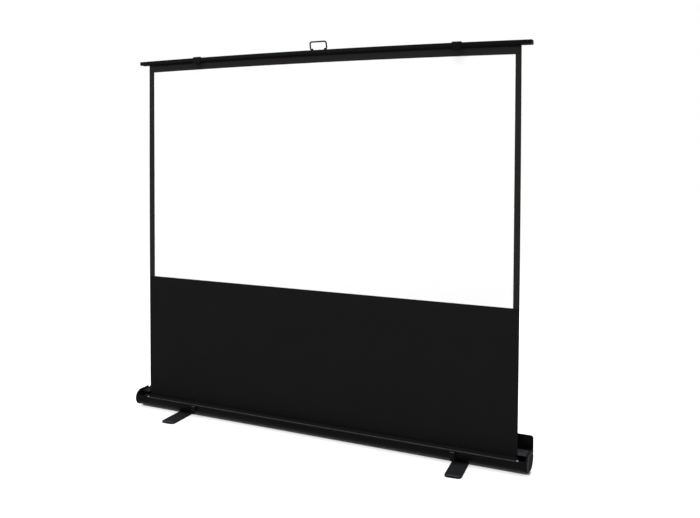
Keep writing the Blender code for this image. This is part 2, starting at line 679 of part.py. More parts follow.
def gear_outline(turn):
    """A small spur gear on the pivots' half spacing, each tooth a tapered block."""
    circular_pitch = 2 * math.pi * PIVOT_X / GEAR_TEETH
    root, tip = PIVOT_X - GEAR_ROOT, PIVOT_X + GEAR_TOP
    flank = ((root, GEAR_ROOT_WIDTH_SHARE), (PIVOT_X, GEAR_PITCH_WIDTH_SHARE), (tip, GEAR_TIP_WIDTH_SHARE))
    outline = []
    for i in range(GEAR_TEETH):
        middle = 2 * math.pi * i / GEAR_TEETH + turn
        for radius, share in flank:
            angle = middle - share * circular_pitch / (2 * radius)
            outline.append((radius * math.cos(angle), radius * math.sin(angle)))
        for radius, share in reversed(flank):
            angle = middle + share * circular_pitch / (2 * radius)
            outline.append((radius * math.cos(angle), radius * math.sin(angle)))
    return outline


def make_gear(name, place, turn):
    hole = circle((0.0, 0.0), ARM_PIN_RADIUS + GAP, 16)
    return slab(name, [gear_outline(turn), hole], ARM_THICKNESS, "Y", place, ALUMINIUM)


def pin_profile(front, back, front_head, back_head):
    """A pin along Y from front to back, with an outer head at either end or none."""
    profile = [(0.0, back + ARM_PIN_HEAD), (ARM_PIN_HEAD_RADIUS, back + ARM_PIN_HEAD),
               (ARM_PIN_HEAD_RADIUS, back)] if back_head else [(0.0, back)]
    profile += [(ARM_PIN_RADIUS, back), (ARM_PIN_RADIUS, front)]
    if front_head:
        profile += [(ARM_PIN_HEAD_RADIUS, front), (ARM_PIN_HEAD_RADIUS, front - ARM_PIN_HEAD)]
        front -= ARM_PIN_HEAD
    return profile + [(0.0, front)]


def make_arms():
    """Two mirrored elbow arms: the lower links swing out from the case, the upper ones carry the bar."""
    front = LOWER_ARM_FRONT - GAP
    back = UPPER_ARM_Y + ARM_THICKNESS / 2 + GAP
    for side, sign in SIDES:
        base = (sign * PIVOT_X, LOWER_ARM_Y, BASE_PIVOT_HEIGHT)
        elbow = (sign * ELBOW_X, UPPER_ARM_Y, ELBOW_Z)
        phase = 0.0 if side == "left" else math.pi + math.pi / GEAR_TEETH
        lower = make_arm("lower_arm_" + side, base, sign * REST_ANGLE)
        base_gear = make_gear("base_gear_" + side, (sign * PIVOT_X, UPPER_ARM_Y, BASE_PIVOT_HEIGHT), phase)
        pin = turned("elbow_pin_" + side, pin_profile(front, back, True, True), BRIGHT_STEEL,
                     (sign * ELBOW_X, 0.0, ELBOW_Z), (0, 1, 0), 16)
        washer_y = (LOWER_ARM_Y + UPPER_ARM_Y) / 2
        washer = turned("elbow_washer_" + side,
                        ring_profile(ARM_WASHER_RADIUS, ARM_PIN_RADIUS + GAP, -ARM_WASHER_THICKNESS / 2,
                                     ARM_WASHER_THICKNESS / 2),
                        BRIGHT_STEEL, (sign * ELBOW_X, washer_y, ELBOW_Z), (0, 1, 0), 16)
        carry(joint_frame("base_pivot_" + side, base), lower, base_gear, pin, washer)
        upper = make_arm("upper_arm_" + side, elbow, -sign * REST_ANGLE)
        top_gear = make_gear("top_gear_" + side, (sign * PIVOT_X, LOWER_ARM_Y, TOP_PIVOT_HEIGHT), phase)
        carry(joint_frame("elbow_" + side, elbow), upper, top_gear)


def cut_pin_holes(bracket, height):
    """Bores both of a bracket's cheeks for the two pivot pins."""
    middle = (FRONT_CHEEK_Y + CHEEK_Y) / 2
    length = CHEEK_Y - FRONT_CHEEK_Y + 2 * CUT_OVERRUN
    for side, sign in SIDES:
        cut(bracket, hide_cutter(rod(bracket.name + "_pin_cutter_" + side, (sign * PIVOT_X, middle, height),
                                     ARM_PIN_RADIUS + GAP, length, (0, 1, 0), None, 16, CUTTERS)))


def make_base_bracket():
    """A channel on the partition's back that holds the two base pivots."""
    web_z = BASE_PIVOT_HEIGHT - GEAR_OUTER - RUNNING_GAP - GAP - BRACKET_WALL / 2
    top = BASE_PIVOT_HEIGHT + BRACKET_CHEEK_ABOVE_PIVOT
    path = [(FRONT_CHEEK_Y, top), (FRONT_CHEEK_Y, web_z), (CHEEK_Y, web_z), (CHEEK_Y, top)]
    bracket = strip("base_bracket", path, -BRACKET_WIDTH / 2, BRACKET_WIDTH / 2, BRACKET_WALL, BLACK_STEEL)
    cut_pin_holes(bracket, BASE_PIVOT_HEIGHT)
    profile = pin_profile(FRONT_CHEEK_Y - BRACKET_WALL / 2 + GAP, CHEEK_Y + BRACKET_WALL / 2 - GAP,
                          False, False)
    for side, sign in SIDES:
        place = (sign * PIVOT_X, 0.0, BASE_PIVOT_HEIGHT)
        turned("base_pin_" + side, profile, BRIGHT_STEEL, place, (0, 1, 0), 16)


def make_top_bracket():
    """A hat over the upper pivots: a flange on the bar's back, a web over the gears and a rear cheek."""
    web_z = TOP_PIVOT_HEIGHT + GEAR_OUTER + RUNNING_GAP + BRACKET_WALL / 2
    flange_y = BAR_DEPTH / 2 + GAP + BRACKET_WALL / 2
    path = [(flange_y, web_z - BRACKET_LIP), (flange_y, web_z), (CHEEK_Y, web_z),
            (CHEEK_Y, TOP_PIVOT_HEIGHT - BRACKET_CHEEK_ABOVE_PIVOT)]
    bracket = strip("top_bracket", path, -BRACKET_WIDTH / 2, BRACKET_WIDTH / 2, BRACKET_WALL, BLACK_STEEL)
    cut_pin_holes(bracket, TOP_PIVOT_HEIGHT)
    profile = pin_profile(LOWER_ARM_FRONT - GAP, CHEEK_Y + BRACKET_WALL / 2 - GAP, True, False)
    return [bracket] + [turned("top_pin_" + side, profile, BRIGHT_STEEL,
                               (sign * PIVOT_X, 0.0, TOP_PIVOT_HEIGHT), (0, 1, 0), 16)
                        for side, sign in SIDES]


def make_top_bar():
    """The channel along the sheet's top edge, bowed up a little by the arms at its middle."""
    half = BAR_DEPTH / 2 - BAR_WALL / 2
    low, high = BAR_BOTTOM + BAR_WALL / 2, BAR_TOP - BAR_WALL / 2
    path = [(BAR_HEM - half, low), (-half, low)]
    path += arc((BAR_CORNER - half, high - BAR_CORNER), BAR_CORNER, 180.0, 90.0, 4)
    path += arc((half - BAR_CORNER, high - BAR_CORNER), BAR_CORNER, 90.0, 0.0, 4)
    path += [(half, low), (half - BAR_HEM, low)]
    bar_half = BAR_LENGTH / 2 - BAR_END_THICKNESS - GAP
    bar = bow_with_bar(strip("top_bar", path, -bar_half, bar_half, BAR_WALL, BLACK_PAINT))
    batten_top = BAR_TOP - BAR_WALL - GAP
    batten_low = (-SHEET_WIDTH / 2, -BATTEN_WIDTH / 2, batten_top - BATTEN_HEIGHT)
    batten_high = (SHEET_WIDTH / 2, BATTEN_WIDTH / 2, batten_top)
    batten = bow_with_bar(box("sheet_batten", batten_low, batten_high, ALUMINIUM))
    ends = []
    for side, sign in SIDES:
        end = as_mesh(slab("bar_end_" + side,
                           [rounded_rectangle(BAR_DEPTH / 2, BAR_HEIGHT / 2, BAR_CORNER, 4)],
                           BAR_END_THICKNESS, "X",
                           (sign * (BAR_LENGTH - BAR_END_THICKNESS) / 2, 0.0, (BAR_BOTTOM + BAR_TOP) / 2),
                           BLACK_PLASTIC))
        round_edges(end, BAR_END_BEVEL)
        ends.append(end)
    return [bar, batten] + ends


def latch_seat():
    """How far forward a latch's flat back rests on the case's curved front, as y."""
    rise = max(0.0, LATCH_HINGE_HEIGHT - LATCH_EAR_BELOW - ROUND_Z)
    return ROUND_Y - math.sqrt(CASE_RADIUS ** 2 - rise ** 2) - GAP


def latch_hinge():
    """The latch hinge's axis (y, z): far enough out for the raised, leaning strap to clear the case."""
    lean = math.radians(LATCH_LEAN_DEG)
    bend_y, bend_z = lip_bend(CASE_WALL / 2)
    lip_clear = LATCH_KNUCKLE_RADIUS + LIP_RADIUS + CASE_WALL / 2 + RUNNING_GAP
    lip_clear += (bend_z - LATCH_HINGE_HEIGHT) * math.sin(lean)
    plate_clear = LATCH_KNUCKLE_RADIUS + 2 * GAP + LATCH_EAR_ABOVE * math.sin(lean)
    over_lip = bend_y - lip_clear / math.cos(lean)
    over_plate = latch_seat() - LATCH_PLATE - plate_clear / math.cos(lean)
    return (min(over_lip, over_plate), LATCH_HINGE_HEIGHT)


def latch_catch():
    """The strap's reach to the inside of its hook, and the y at which it drops over the keeper's edge."""
    lean = math.radians(LATCH_LEAN_DEG)
    hinge_y, hinge_z = latch_hinge()
    edge = CLOSED_BAR_BOTTOM + BAR_RISE * bow_share(LATCH_X - KEEPER_SHIFT) - KEEPER_DROP + KEEPER_HOOK_LIP
    clear = RUNNING_GAP + KEEPER_SHEET / 2 * math.tan(lean)
    across = LATCH_KNUCKLE_RADIUS + LATCH_HOOK / 2
    reach = (edge + clear - hinge_z + across * math.sin(lean)) / math.cos(lean)
    return reach, hinge_y + reach * math.sin(lean) + across * math.cos(lean)


def make_keepers():
    """Pressed straps over the bar's front edge that the latches hook onto."""
    front = -(BAR_DEPTH / 2 + GAP + KEEPER_SHEET / 2)
    crown = BAR_TOP + KEEPER_CROWN - KEEPER_SHEET / 2
    hook_y = latch_catch()[1]
    shelf = BAR_BOTTOM - KEEPER_DROP
    back = front + KEEPER_DEPTH
    path = [(back, BAR_TOP + GAP + KEEPER_SHEET / 2), (back - KEEPER_CROWN, crown),
            (front + KEEPER_CROWN, crown), (front, BAR_TOP - GAP), (front, shelf),
            (hook_y, shelf), (hook_y, shelf + KEEPER_HOOK_LIP)]
    keepers = []
    for side, sign in SIDES:
        low = sign * LATCH_X + KEEPER_SHIFT - KEEPER_WIDTH / 2
        keeper = strip("latch_keeper_" + side, path, low, low + KEEPER_WIDTH, KEEPER_SHEET, BLACK_STEEL)
        keepers.append(bow_with_bar(keeper))
    return keepers


def make_latches():
    """A hanging strap on each side that swings up over the lowered bar's keeper."""
    hinge_y, hinge_z = latch_hinge()
    inside = hinge_z - latch_catch()[0]
    tip = inside - LATCH_SHEET
    knuckle = LATCH_KNUCKLE_RADIUS
    front, back = hinge_y - knuckle, hinge_y - knuckle + LATCH_SHEET
    outline = arc((hinge_y, hinge_z), knuckle, -60.0, 180.0, 10)
    outline += [(front, inside), (front - LATCH_HOOK, inside), (front - LATCH_HOOK, tip), (back, tip),
                (back, hinge_z - knuckle)]
    half = LATCH_WIDTH / 2 + GAP
    outer = half + LATCH_EAR_WIDTH
    seat = latch_seat()
    plate = seat - LATCH_PLATE
    middle_z = hinge_z + (LATCH_EAR_ABOVE - LATCH_EAR_BELOW) / 2
    for side, sign in SIDES:
        x = sign * LATCH_X + LATCH_SHIFT
        strap = slab("latch_strap_" + side, [outline], LATCH_WIDTH, "X", (x, 0.0, 0.0), BLACK_STEEL)
        carry(joint_frame("latch_hinge_" + side, (x, hinge_y, hinge_z)), strap)
        ears = [(-outer, seat), (-outer, front), (-half, front), (-half, plate),
                (half, plate), (half, front), (outer, front), (outer, seat)]
        slab("latch_base_" + side, [ears], LATCH_EAR_ABOVE + LATCH_EAR_BELOW, "Z", (x, 0.0, middle_z),
             BLACK_STEEL)


def make_handle():
    """A wire bail in two ears on the bar's middle."""
    inner = HANDLE_HALF - HANDLE_FOOT
    corner = HANDLE_CORNER
    foot_corner = HANDLE_WIRE_RADIUS * 2
    top = HANDLE_HEIGHT - HANDLE_PIVOT_HEIGHT - HANDLE_WIRE_RADIUS
    half_path = [(inner, 0.0)]
    half_path += arc((HANDLE_HALF - foot_corner, foot_corner), foot_corner, -90.0, 0.0, 4)
    half_path += arc((HANDLE_HALF - corner, top - corner), corner, 0.0, 90.0, 6)
    path = half_path + [(-x, z) for x, z in reversed(half_path)]
    bail = tube_along("handle_bail", [(x, 0.0, z) for x, z in path], HANDLE_WIRE_RADIUS, BLACK_STEEL, 3)
    bail.location = (HANDLE_SHIFT, 0.0, HANDLE_AXIS_Z)
    bail.rotation_euler = (math.radians(HANDLE_LEAN_DEG), 0.0, 0.0)
    base = GAP - HANDLE_PIVOT_HEIGHT
    ear_outline = [(-EAR_BASE / 2, base), (EAR_BASE / 2, base)]
    ear_outline += arc((0.0, 0.0), EAR_RADIUS, 15.0, 165.0, 10)
    hole = circle((0.0, 0.0), HANDLE_WIRE_RADIUS + GAP, 16)
    ears = []
    for side, sign in SIDES:
        x = HANDLE_SHIFT + sign * (inner + HANDLE_FOOT / 2 - foot_corner / 2)
        ears.append(slab("handle_ear_" + side, [ear_outline, hole], EAR_WIDTH, "X", (x, 0.0, HANDLE_AXIS_Z),
                         BLACK_STEEL))
    return bail, ears


def bowed_edge(half_width, height, rise):
    """Points along a level edge from its right end to its left, raised as the bar bows it."""
    points = []
    for i in range(BOW_STATIONS + 1):
        x = half_width - 2 * half_width * i / BOW_STATIONS
        points.append((x, height + rise * bow_share(x)))
    return points


def make_sheet():
    """The stretched sheet: its white picture area, and the black border and drop printed round it."""
    view_half, sheet_half = VIEW_WIDTH / 2, SHEET_WIDTH / 2
    tuck_top = min(BAR_BOTTOM + SHEET_TUCK, BAR_TOP - BAR_WALL - 2 * GAP - BATTEN_HEIGHT)
    view = bowed_edge(view_half, VIEW_TOP, VIEW_TOP_RISE)
    view += [(-view_half, VIEW_BOTTOM), (view_half, VIEW_BOTTOM)]
    slab("viewing_surface", [view], SHEET_THICKNESS, "Y", (0.0, 0.0, 0.0), WHITE_SHEET)
    window = bowed_edge(view_half + GAP, VIEW_TOP + GAP, VIEW_TOP_RISE)
    window += [(-view_half - GAP, VIEW_BOTTOM - GAP), (view_half + GAP, VIEW_BOTTOM - GAP)]
    outer = bowed_edge(sheet_half, tuck_top, BAR_RISE)
    outer += [(-sheet_half, ROLLER_HEIGHT), (sheet_half, ROLLER_HEIGHT)]
    slab("black_border", [outer, window], SHEET_THICKNESS, "Y", (0.0, 0.0, 0.0), BLACK_SHEET)


def build():
    make_case()
    for side, sign in SIDES:
        make_end_cap("end_cap_" + side, sign)
        make_lip_screw(side, sign)
        make_foot(side, sign)
        make_foot_bolt(side, sign)
    make_roller()
    make_roller_mounts()
    make_arms()
    make_base_bracket()
    make_latches()
    make_sheet()
    bar_pieces = make_top_bar() + make_top_bracket() + make_keepers()
    bail, ears = make_handle()
    carry(joint_frame("bar_pivot", (-PIVOT_X, LOWER_ARM_Y, TOP_PIVOT_HEIGHT)), *bar_pieces, *ears)
    carry(joint_frame("handle_hinge", (HANDLE_SHIFT, 0.0, HANDLE_AXIS_Z)), bail)


for leftover in list(bpy.data.objects):
    bpy.data.objects.remove(leftover)
PARTS = new_collection("portable_projector_screen")
CUTTERS = new_collection("cutters")
build()
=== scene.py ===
"""Dresses the portable floor projector screen for its render.

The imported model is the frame. Each sub-assembly is a class that makes its own pieces and gives them
their finish. Metres, +Z up: X runs along the case, the sheet faces -Y and lies in the plane Y = 0.
"""
import json
import logging
from dataclasses import dataclass
from enum import Enum
from math import cos, pi, radians, sin, sqrt
from typing import Sequence

import bmesh
import bpy
import numpy as np
from mathutils import Matrix, Vector


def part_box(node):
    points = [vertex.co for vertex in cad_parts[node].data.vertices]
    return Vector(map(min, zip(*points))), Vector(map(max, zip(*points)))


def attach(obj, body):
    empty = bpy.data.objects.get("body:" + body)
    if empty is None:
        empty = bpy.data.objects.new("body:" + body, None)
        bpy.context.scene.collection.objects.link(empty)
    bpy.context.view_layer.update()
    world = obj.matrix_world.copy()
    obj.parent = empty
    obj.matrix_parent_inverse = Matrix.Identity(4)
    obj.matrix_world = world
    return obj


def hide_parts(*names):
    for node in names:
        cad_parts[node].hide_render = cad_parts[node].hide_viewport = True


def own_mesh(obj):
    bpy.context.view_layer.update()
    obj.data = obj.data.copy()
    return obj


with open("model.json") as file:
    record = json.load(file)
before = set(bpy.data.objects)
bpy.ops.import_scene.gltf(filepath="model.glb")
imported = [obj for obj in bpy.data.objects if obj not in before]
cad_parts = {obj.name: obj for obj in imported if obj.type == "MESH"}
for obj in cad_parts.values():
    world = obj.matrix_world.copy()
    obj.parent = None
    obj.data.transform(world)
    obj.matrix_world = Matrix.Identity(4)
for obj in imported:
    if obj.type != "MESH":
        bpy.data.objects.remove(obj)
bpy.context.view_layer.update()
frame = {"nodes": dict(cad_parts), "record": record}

LOG = logging.getLogger("screen")
SIDES = (("left", -1.0), ("right", 1.0))
WELD = 0.00001
SHARP_DEG = 35.0
PLAIN_LEVEL = 12.92
Color = tuple[float, float, float]


# ---------------------------------------------------------------- curves and surfaces

def unit(rows: np.ndarray) -> np.ndarray:
    """Each row divided by its own length."""
    return rows / np.linalg.norm(rows, axis=-1, keepdims=True)


def directions(path: np.ndarray) -> tuple[np.ndarray, np.ndarray]:
    """A path's edges as unit vectors, and the direction that it runs in at each point."""
    edges = unit(np.diff(path, axis=0))
    return edges, unit(np.vstack((edges[:1], edges[:-1] + edges[1:], edges[-1:])))


def arc(centre: Sequence[float], radius: float, start_deg: float, end_deg: float, count: int) -> np.ndarray:
    """An arc: the centre plus the radius times the cosine and sine of evenly spread angles.

    Args:
        centre: The two coordinates of the arc's centre.
        radius: The arc's radius.
        start_deg: The first point's angle.
        end_deg: The last point's angle.
        count: How many steps the arc has.

    Returns:
        count + 1 points, one to a row.
    """
    angles = np.radians(np.linspace(start_deg, end_deg, count + 1))
    return np.column_stack((centre[0] + radius * np.cos(angles), centre[1] + radius * np.sin(angles)))


def filleted(corners: Sequence[Sequence[float]], corner_radii: Sequence[float], steps: int = 5,
             closed: bool = False) -> np.ndarray:
    """A polyline whose corners are rounded by arcs that touch both neighbouring edges.

    Each arc's centre lies on the corner's bisector, its radius over the sine of the half angle away, and
    the arc swings to each side of the bisector by a right angle less that half angle.

    Args:
        corners: The polyline's corners.
        corner_radii: One radius to a corner; an open line's two end values aren't used.
        steps: How many steps each arc has.
        closed: Whether the last corner runs back to the first.

    Returns:
        The rounded line's points.
    """
    at, radius = np.asarray(corners, float), np.asarray(corner_radii, float)[:, None]
    back, ahead = unit(np.roll(at, 1, axis=0) - at), unit(np.roll(at, -1, axis=0) - at)
    half = np.arccos(np.clip((back * ahead).sum(axis=1, keepdims=True), -1.0, 1.0)) / 2
    bisector, across = unit(back + ahead), unit(ahead - back)
    centre = at + bisector * radius / np.sin(half)
    swing = ((pi / 2 - half) * np.linspace(-1.0, 1.0, steps + 1))[:, :, None]
    spokes = np.sin(swing) * across[:, None] - np.cos(swing) * bisector[:, None]
    points = centre[:, None] + radius[:, None] * spokes
    if closed:
        return points.reshape(-1, at.shape[1])
    return np.vstack((at[:1], points[1:-1].reshape(-1, at.shape[1]), at[-1:]))


def sheet_section(path: np.ndarray, thickness: float, end_steps: int = 4) -> np.ndarray:
    """The outline of bent sheet metal: its middle line moved half the thickness to each side.

    A point moves along the bisector of its two edges, by half the thickness over the cosine of half the
    turn there. Half circles close both ends.

    Args:
        path: The middle line's points.
        thickness: The sheet's thickness.
        end_steps: How many steps each rounded end has.

    Returns:
        A closed outline.
    """
    edges, along = directions(path)
    stretch = 1.0 / (along * np.vstack((edges, edges[-1:]))).sum(axis=1, keepdims=True)
    normal = np.column_stack((-along[:, 1], along[:, 0]))
    offset = normal * stretch * thickness / 2
    turn = np.linspace(0.0, pi, end_steps + 1)[1:-1, None]
    far = path[-1] + thickness / 2 * (np.cos(turn) * normal[-1] + np.sin(turn) * along[-1])
    near = path[0] - thickness / 2 * (np.cos(turn) * normal[0] + np.sin(turn) * along[0])
    return np.vstack((path + offset, far, (path - offset)[::-1], near))


def drawn_along_x(section: np.ndarray, stations: np.ndarray, rise: np.ndarray | float = 0.0) -> np.ndarray:
    """A section of (y, z) repeated at each x, and lifted there by that station's rise.

    Args:
        section: The section's points.
        stations: The x of each ring.
        rise: How far each ring is lifted.

    Returns:
        Rings of points, as an array of (ring, point, 3).
    """
    rings = np.empty((len(stations), len(section), 3))
    rings[..., 0] = np.asarray(stations)[:, None]
    rings[..., 1:] = section
    rings[..., 2] += np.broadcast_to(rise, len(stations))[:, None]
    return rings


def tube_rings(path: np.ndarray, plane_normal: np.ndarray, radius: float, sides: int = 14) -> np.ndarray:
    """Circles along a path that lies in one plane.

    Each circle is spanned by the plane's normal and by the path's own normal in that plane.

    Args:
        path: The tube's middle line, as 3-D points.
        plane_normal: The normal of the plane that holds the path.
        radius: The tube's radius.
        sides: How many points each circle has.

    Returns:
        Rings of points, as an array of (ring, point, 3).
    """
    along = directions(path)[1]
    side = np.cross(along, plane_normal)
    turn = np.linspace(0.0, 2 * pi, sides, endpoint=False)[None, :, None]
    return path[:, None] + radius * (np.cos(turn) * side[:, None] + np.sin(turn) * plane_normal)


def quads(rows: int, columns: int, close_rows: bool = False, close_columns: bool = True) -> np.ndarray:
    """The four corners of each cell of a grid of points that is numbered row by row."""
    index = np.arange(rows * columns).reshape(rows, columns)
    index = np.vstack((index, index[:1])) if close_rows else index
    index = np.hstack((index, index[:, :1])) if close_columns else index
    low, high = index[:-1], index[1:]
    return np.stack((low[:, :-1], low[:, 1:], high[:, 1:], high[:, :-1]), axis=-1).reshape(-1, 4)


def linked(name: str, data: bpy.types.ID) -> bpy.types.Object:
    """A new object that holds this data, linked to the scene."""
    obj = bpy.data.objects.new(name, data)
    bpy.context.scene.collection.objects.link(obj)
    return obj


def mesh_object(name: str, points: np.ndarray, faces: list[list[int]]) -> bpy.types.Object:
    """A linked object of these points and faces, welded, with its faces pointing outwards."""
    mesh = bpy.data.meshes.new(name)
    mesh.from_pydata(points.reshape(-1, 3).tolist(), [], faces)
    welded = bmesh.new()
    welded.from_mesh(mesh)
    bmesh.ops.remove_doubles(welded, verts=welded.verts, dist=WELD / 2)
    bmesh.ops.recalc_face_normals(welded, faces=welded.faces)
    welded.to_mesh(mesh)
    welded.free()
    return linked(name, mesh)


def solid_of_rings(name: str, rings: np.ndarray, close_rows: bool = False) -> bpy.types.Object:
    """A closed body through rings of points: joined round in a loop, or capped flat at both ends.

    Args:
        name: The object's name.
        rings: The rings, as an array of (ring, point, 3).
        close_rows: Whether the last ring joins the first.

    Returns:
        The new object.
    """
    count, around = rings.shape[:2]
    faces = quads(count, around, close_rows).tolist()
    if not close_rows:
        faces += [list(range(around)), list(range((count - 1) * around, count * around))]
    return mesh_object(name, rings, faces)


def turned_rings(profile: np.ndarray, centre: Sequence[float], axis: str, sides: int = 32) -> np.ndarray:
    """A profile of (radius, height) turned about an axis: height along it, radius round it.

    Args:
        profile: The closed profile's points.
        centre: The point on the axis that heights are measured from.
        axis: "X", "Y" or "Z".
        sides: How many places round the axis the profile takes.

    Returns:
        Rings of points, one to a place round the axis, to be closed in a loop.
    """
    turn = np.linspace(0.0, 2 * pi, sides, endpoint=False)[:, None]
    along = "XYZ".index(axis)
    rings = np.empty((sides, len(profile), 3))
    rings[..., along] = profile[:, 1]
    rings[..., (along + 1) % 3] = profile[:, 0] * np.cos(turn)
    rings[..., (along + 2) % 3] = profile[:, 0] * np.sin(turn)
    return rings + np.asarray(centre)


def slab_rings(half_width: float, half_length: float, corner: float, levels: np.ndarray,
               insets: np.ndarray, steps: int = 7) -> np.ndarray:
    """A rounded rectangle at each level, drawn in by that level's inset.

    The corners' centres stay in place and their radius loses the inset, so the rim keeps its width.

    Args:
        half_width: Half the rectangle's size along its first direction.
        half_length: Half its size along the second.
        corner: The corners' radius.
        levels: The height of each ring.
        insets: How far each ring is drawn in.
        steps: How many steps each corner has.

    Returns:
        Rings of (first, second, level).
    """
    signs = np.array(((1, 1), (-1, 1), (-1, -1), (1, -1)))
    centres = np.repeat(signs * (half_width - corner, half_length - corner), steps + 1, axis=0)
    angles = np.radians(np.concatenate([np.linspace(90 * i, 90 * (i + 1), steps + 1) for i in range(4)]))
    reach = (corner - np.asarray(insets))[:, None, None]
    flat = centres + reach * np.column_stack((np.cos(angles), np.sin(angles)))
    level = np.broadcast_to(np.asarray(levels)[:, None, None], (*flat.shape[:2], 1))
    return np.concatenate((flat, level), axis=2)


def round_over(low: float, high: float, low_edge: float, high_edge: float, steps: int = 4) -> tuple:
    """Levels and insets that round a slab's lower and upper rims by quarter circles."""
    turn = np.linspace(0.0, pi / 2, steps + 1)
    drop, inset = 1 - np.sin(turn), 1 - np.cos(turn)
    levels = np.concatenate((low + low_edge * drop[::-1], high - high_edge * drop))
    insets = np.concatenate((low_edge * inset[::-1], high_edge * inset))
    return levels, insets


# ---------------------------------------------------------------- node trees

class Bench:
    """A node tree with short calls to place nodes and join their sockets."""

    def __init__(self, tree: bpy.types.NodeTree) -> None:
        """Keeps the tree to work on."""
        self.tree = tree

    def add(self, kind: str, inputs: dict | None = None, **settings: object) -> bpy.types.Node:
        """Places a node, sets its options, and sets or joins its inputs.

        Args:
            kind: The node's type name.
            inputs: An input's name or number against a value or a socket.
            **settings: The node's own options.

        Returns:
            The new node.
        """
        node = self.tree.nodes.new(kind)
        for option, value in settings.items():
            setattr(node, option, value)
        for key, value in (inputs or {}).items():
            if isinstance(value, bpy.types.NodeSocket):
                self.tree.links.new(value, node.inputs[key])
            else:
                node.inputs[key].default_value = value
        return node

    def math(self, operation: str, *values: object, clamp: bool = False) -> bpy.types.NodeSocket:
        """The result of one Math node."""
        return self.add("ShaderNodeMath", dict(enumerate(values)), operation=operation,
                        use_clamp=clamp).outputs[0]

    def noise(self, where: bpy.types.NodeSocket, scale: object, detail: float,
              **more: float) -> bpy.types.NodeSocket:
        """The value of one Noise Texture node; further inputs go by their names."""
        inputs = {"Vector": where, "Scale": scale, "Detail": detail, **more}
        return self.add("ShaderNodeTexNoise", inputs).outputs[0]

    def span(self, value: object, low: float, high: float) -> bpy.types.NodeSocket:
        """A mask from 0 to 1 stretched to run from low to high."""
        return self.add("ShaderNodeMapRange", {"Value": value, "To Min": low, "To Max": high}).outputs[0]

    def blend(self, share: object, first: object, second: object) -> bpy.types.NodeSocket:
        """Two colours mixed by a share from 0, the first, to 1, the second."""
        return self.add("ShaderNodeMix", {0: share, 6: first, 7: second}, data_type="RGBA").outputs[2]


def node_group(name: str, inputs: dict[str, tuple], outputs: dict[str, str]) -> tuple:
    """A new shader node group, with its bench and its two ends.

    Args:
        name: The group's name.
        inputs: Each input's name against its socket type and value.
        outputs: Each output's name against its socket type.

    Returns:
        The group's tree, a bench on it, its input node and its output node.
    """
    tree = bpy.data.node_groups.new(name, "ShaderNodeTree")
    for label, (kind, value) in inputs.items():
        socket = tree.interface.new_socket(label, in_out="INPUT", socket_type=kind)
        if value is not None:
            socket.default_value = value
    for label, kind in outputs.items():
        tree.interface.new_socket(label, in_out="OUTPUT", socket_type=kind)
    bench = Bench(tree)
    return tree, bench, bench.add("NodeGroupInput"), bench.add("NodeGroupOutput")


FLOAT, VECTOR = "NodeSocketFloat", "NodeSocketVector"


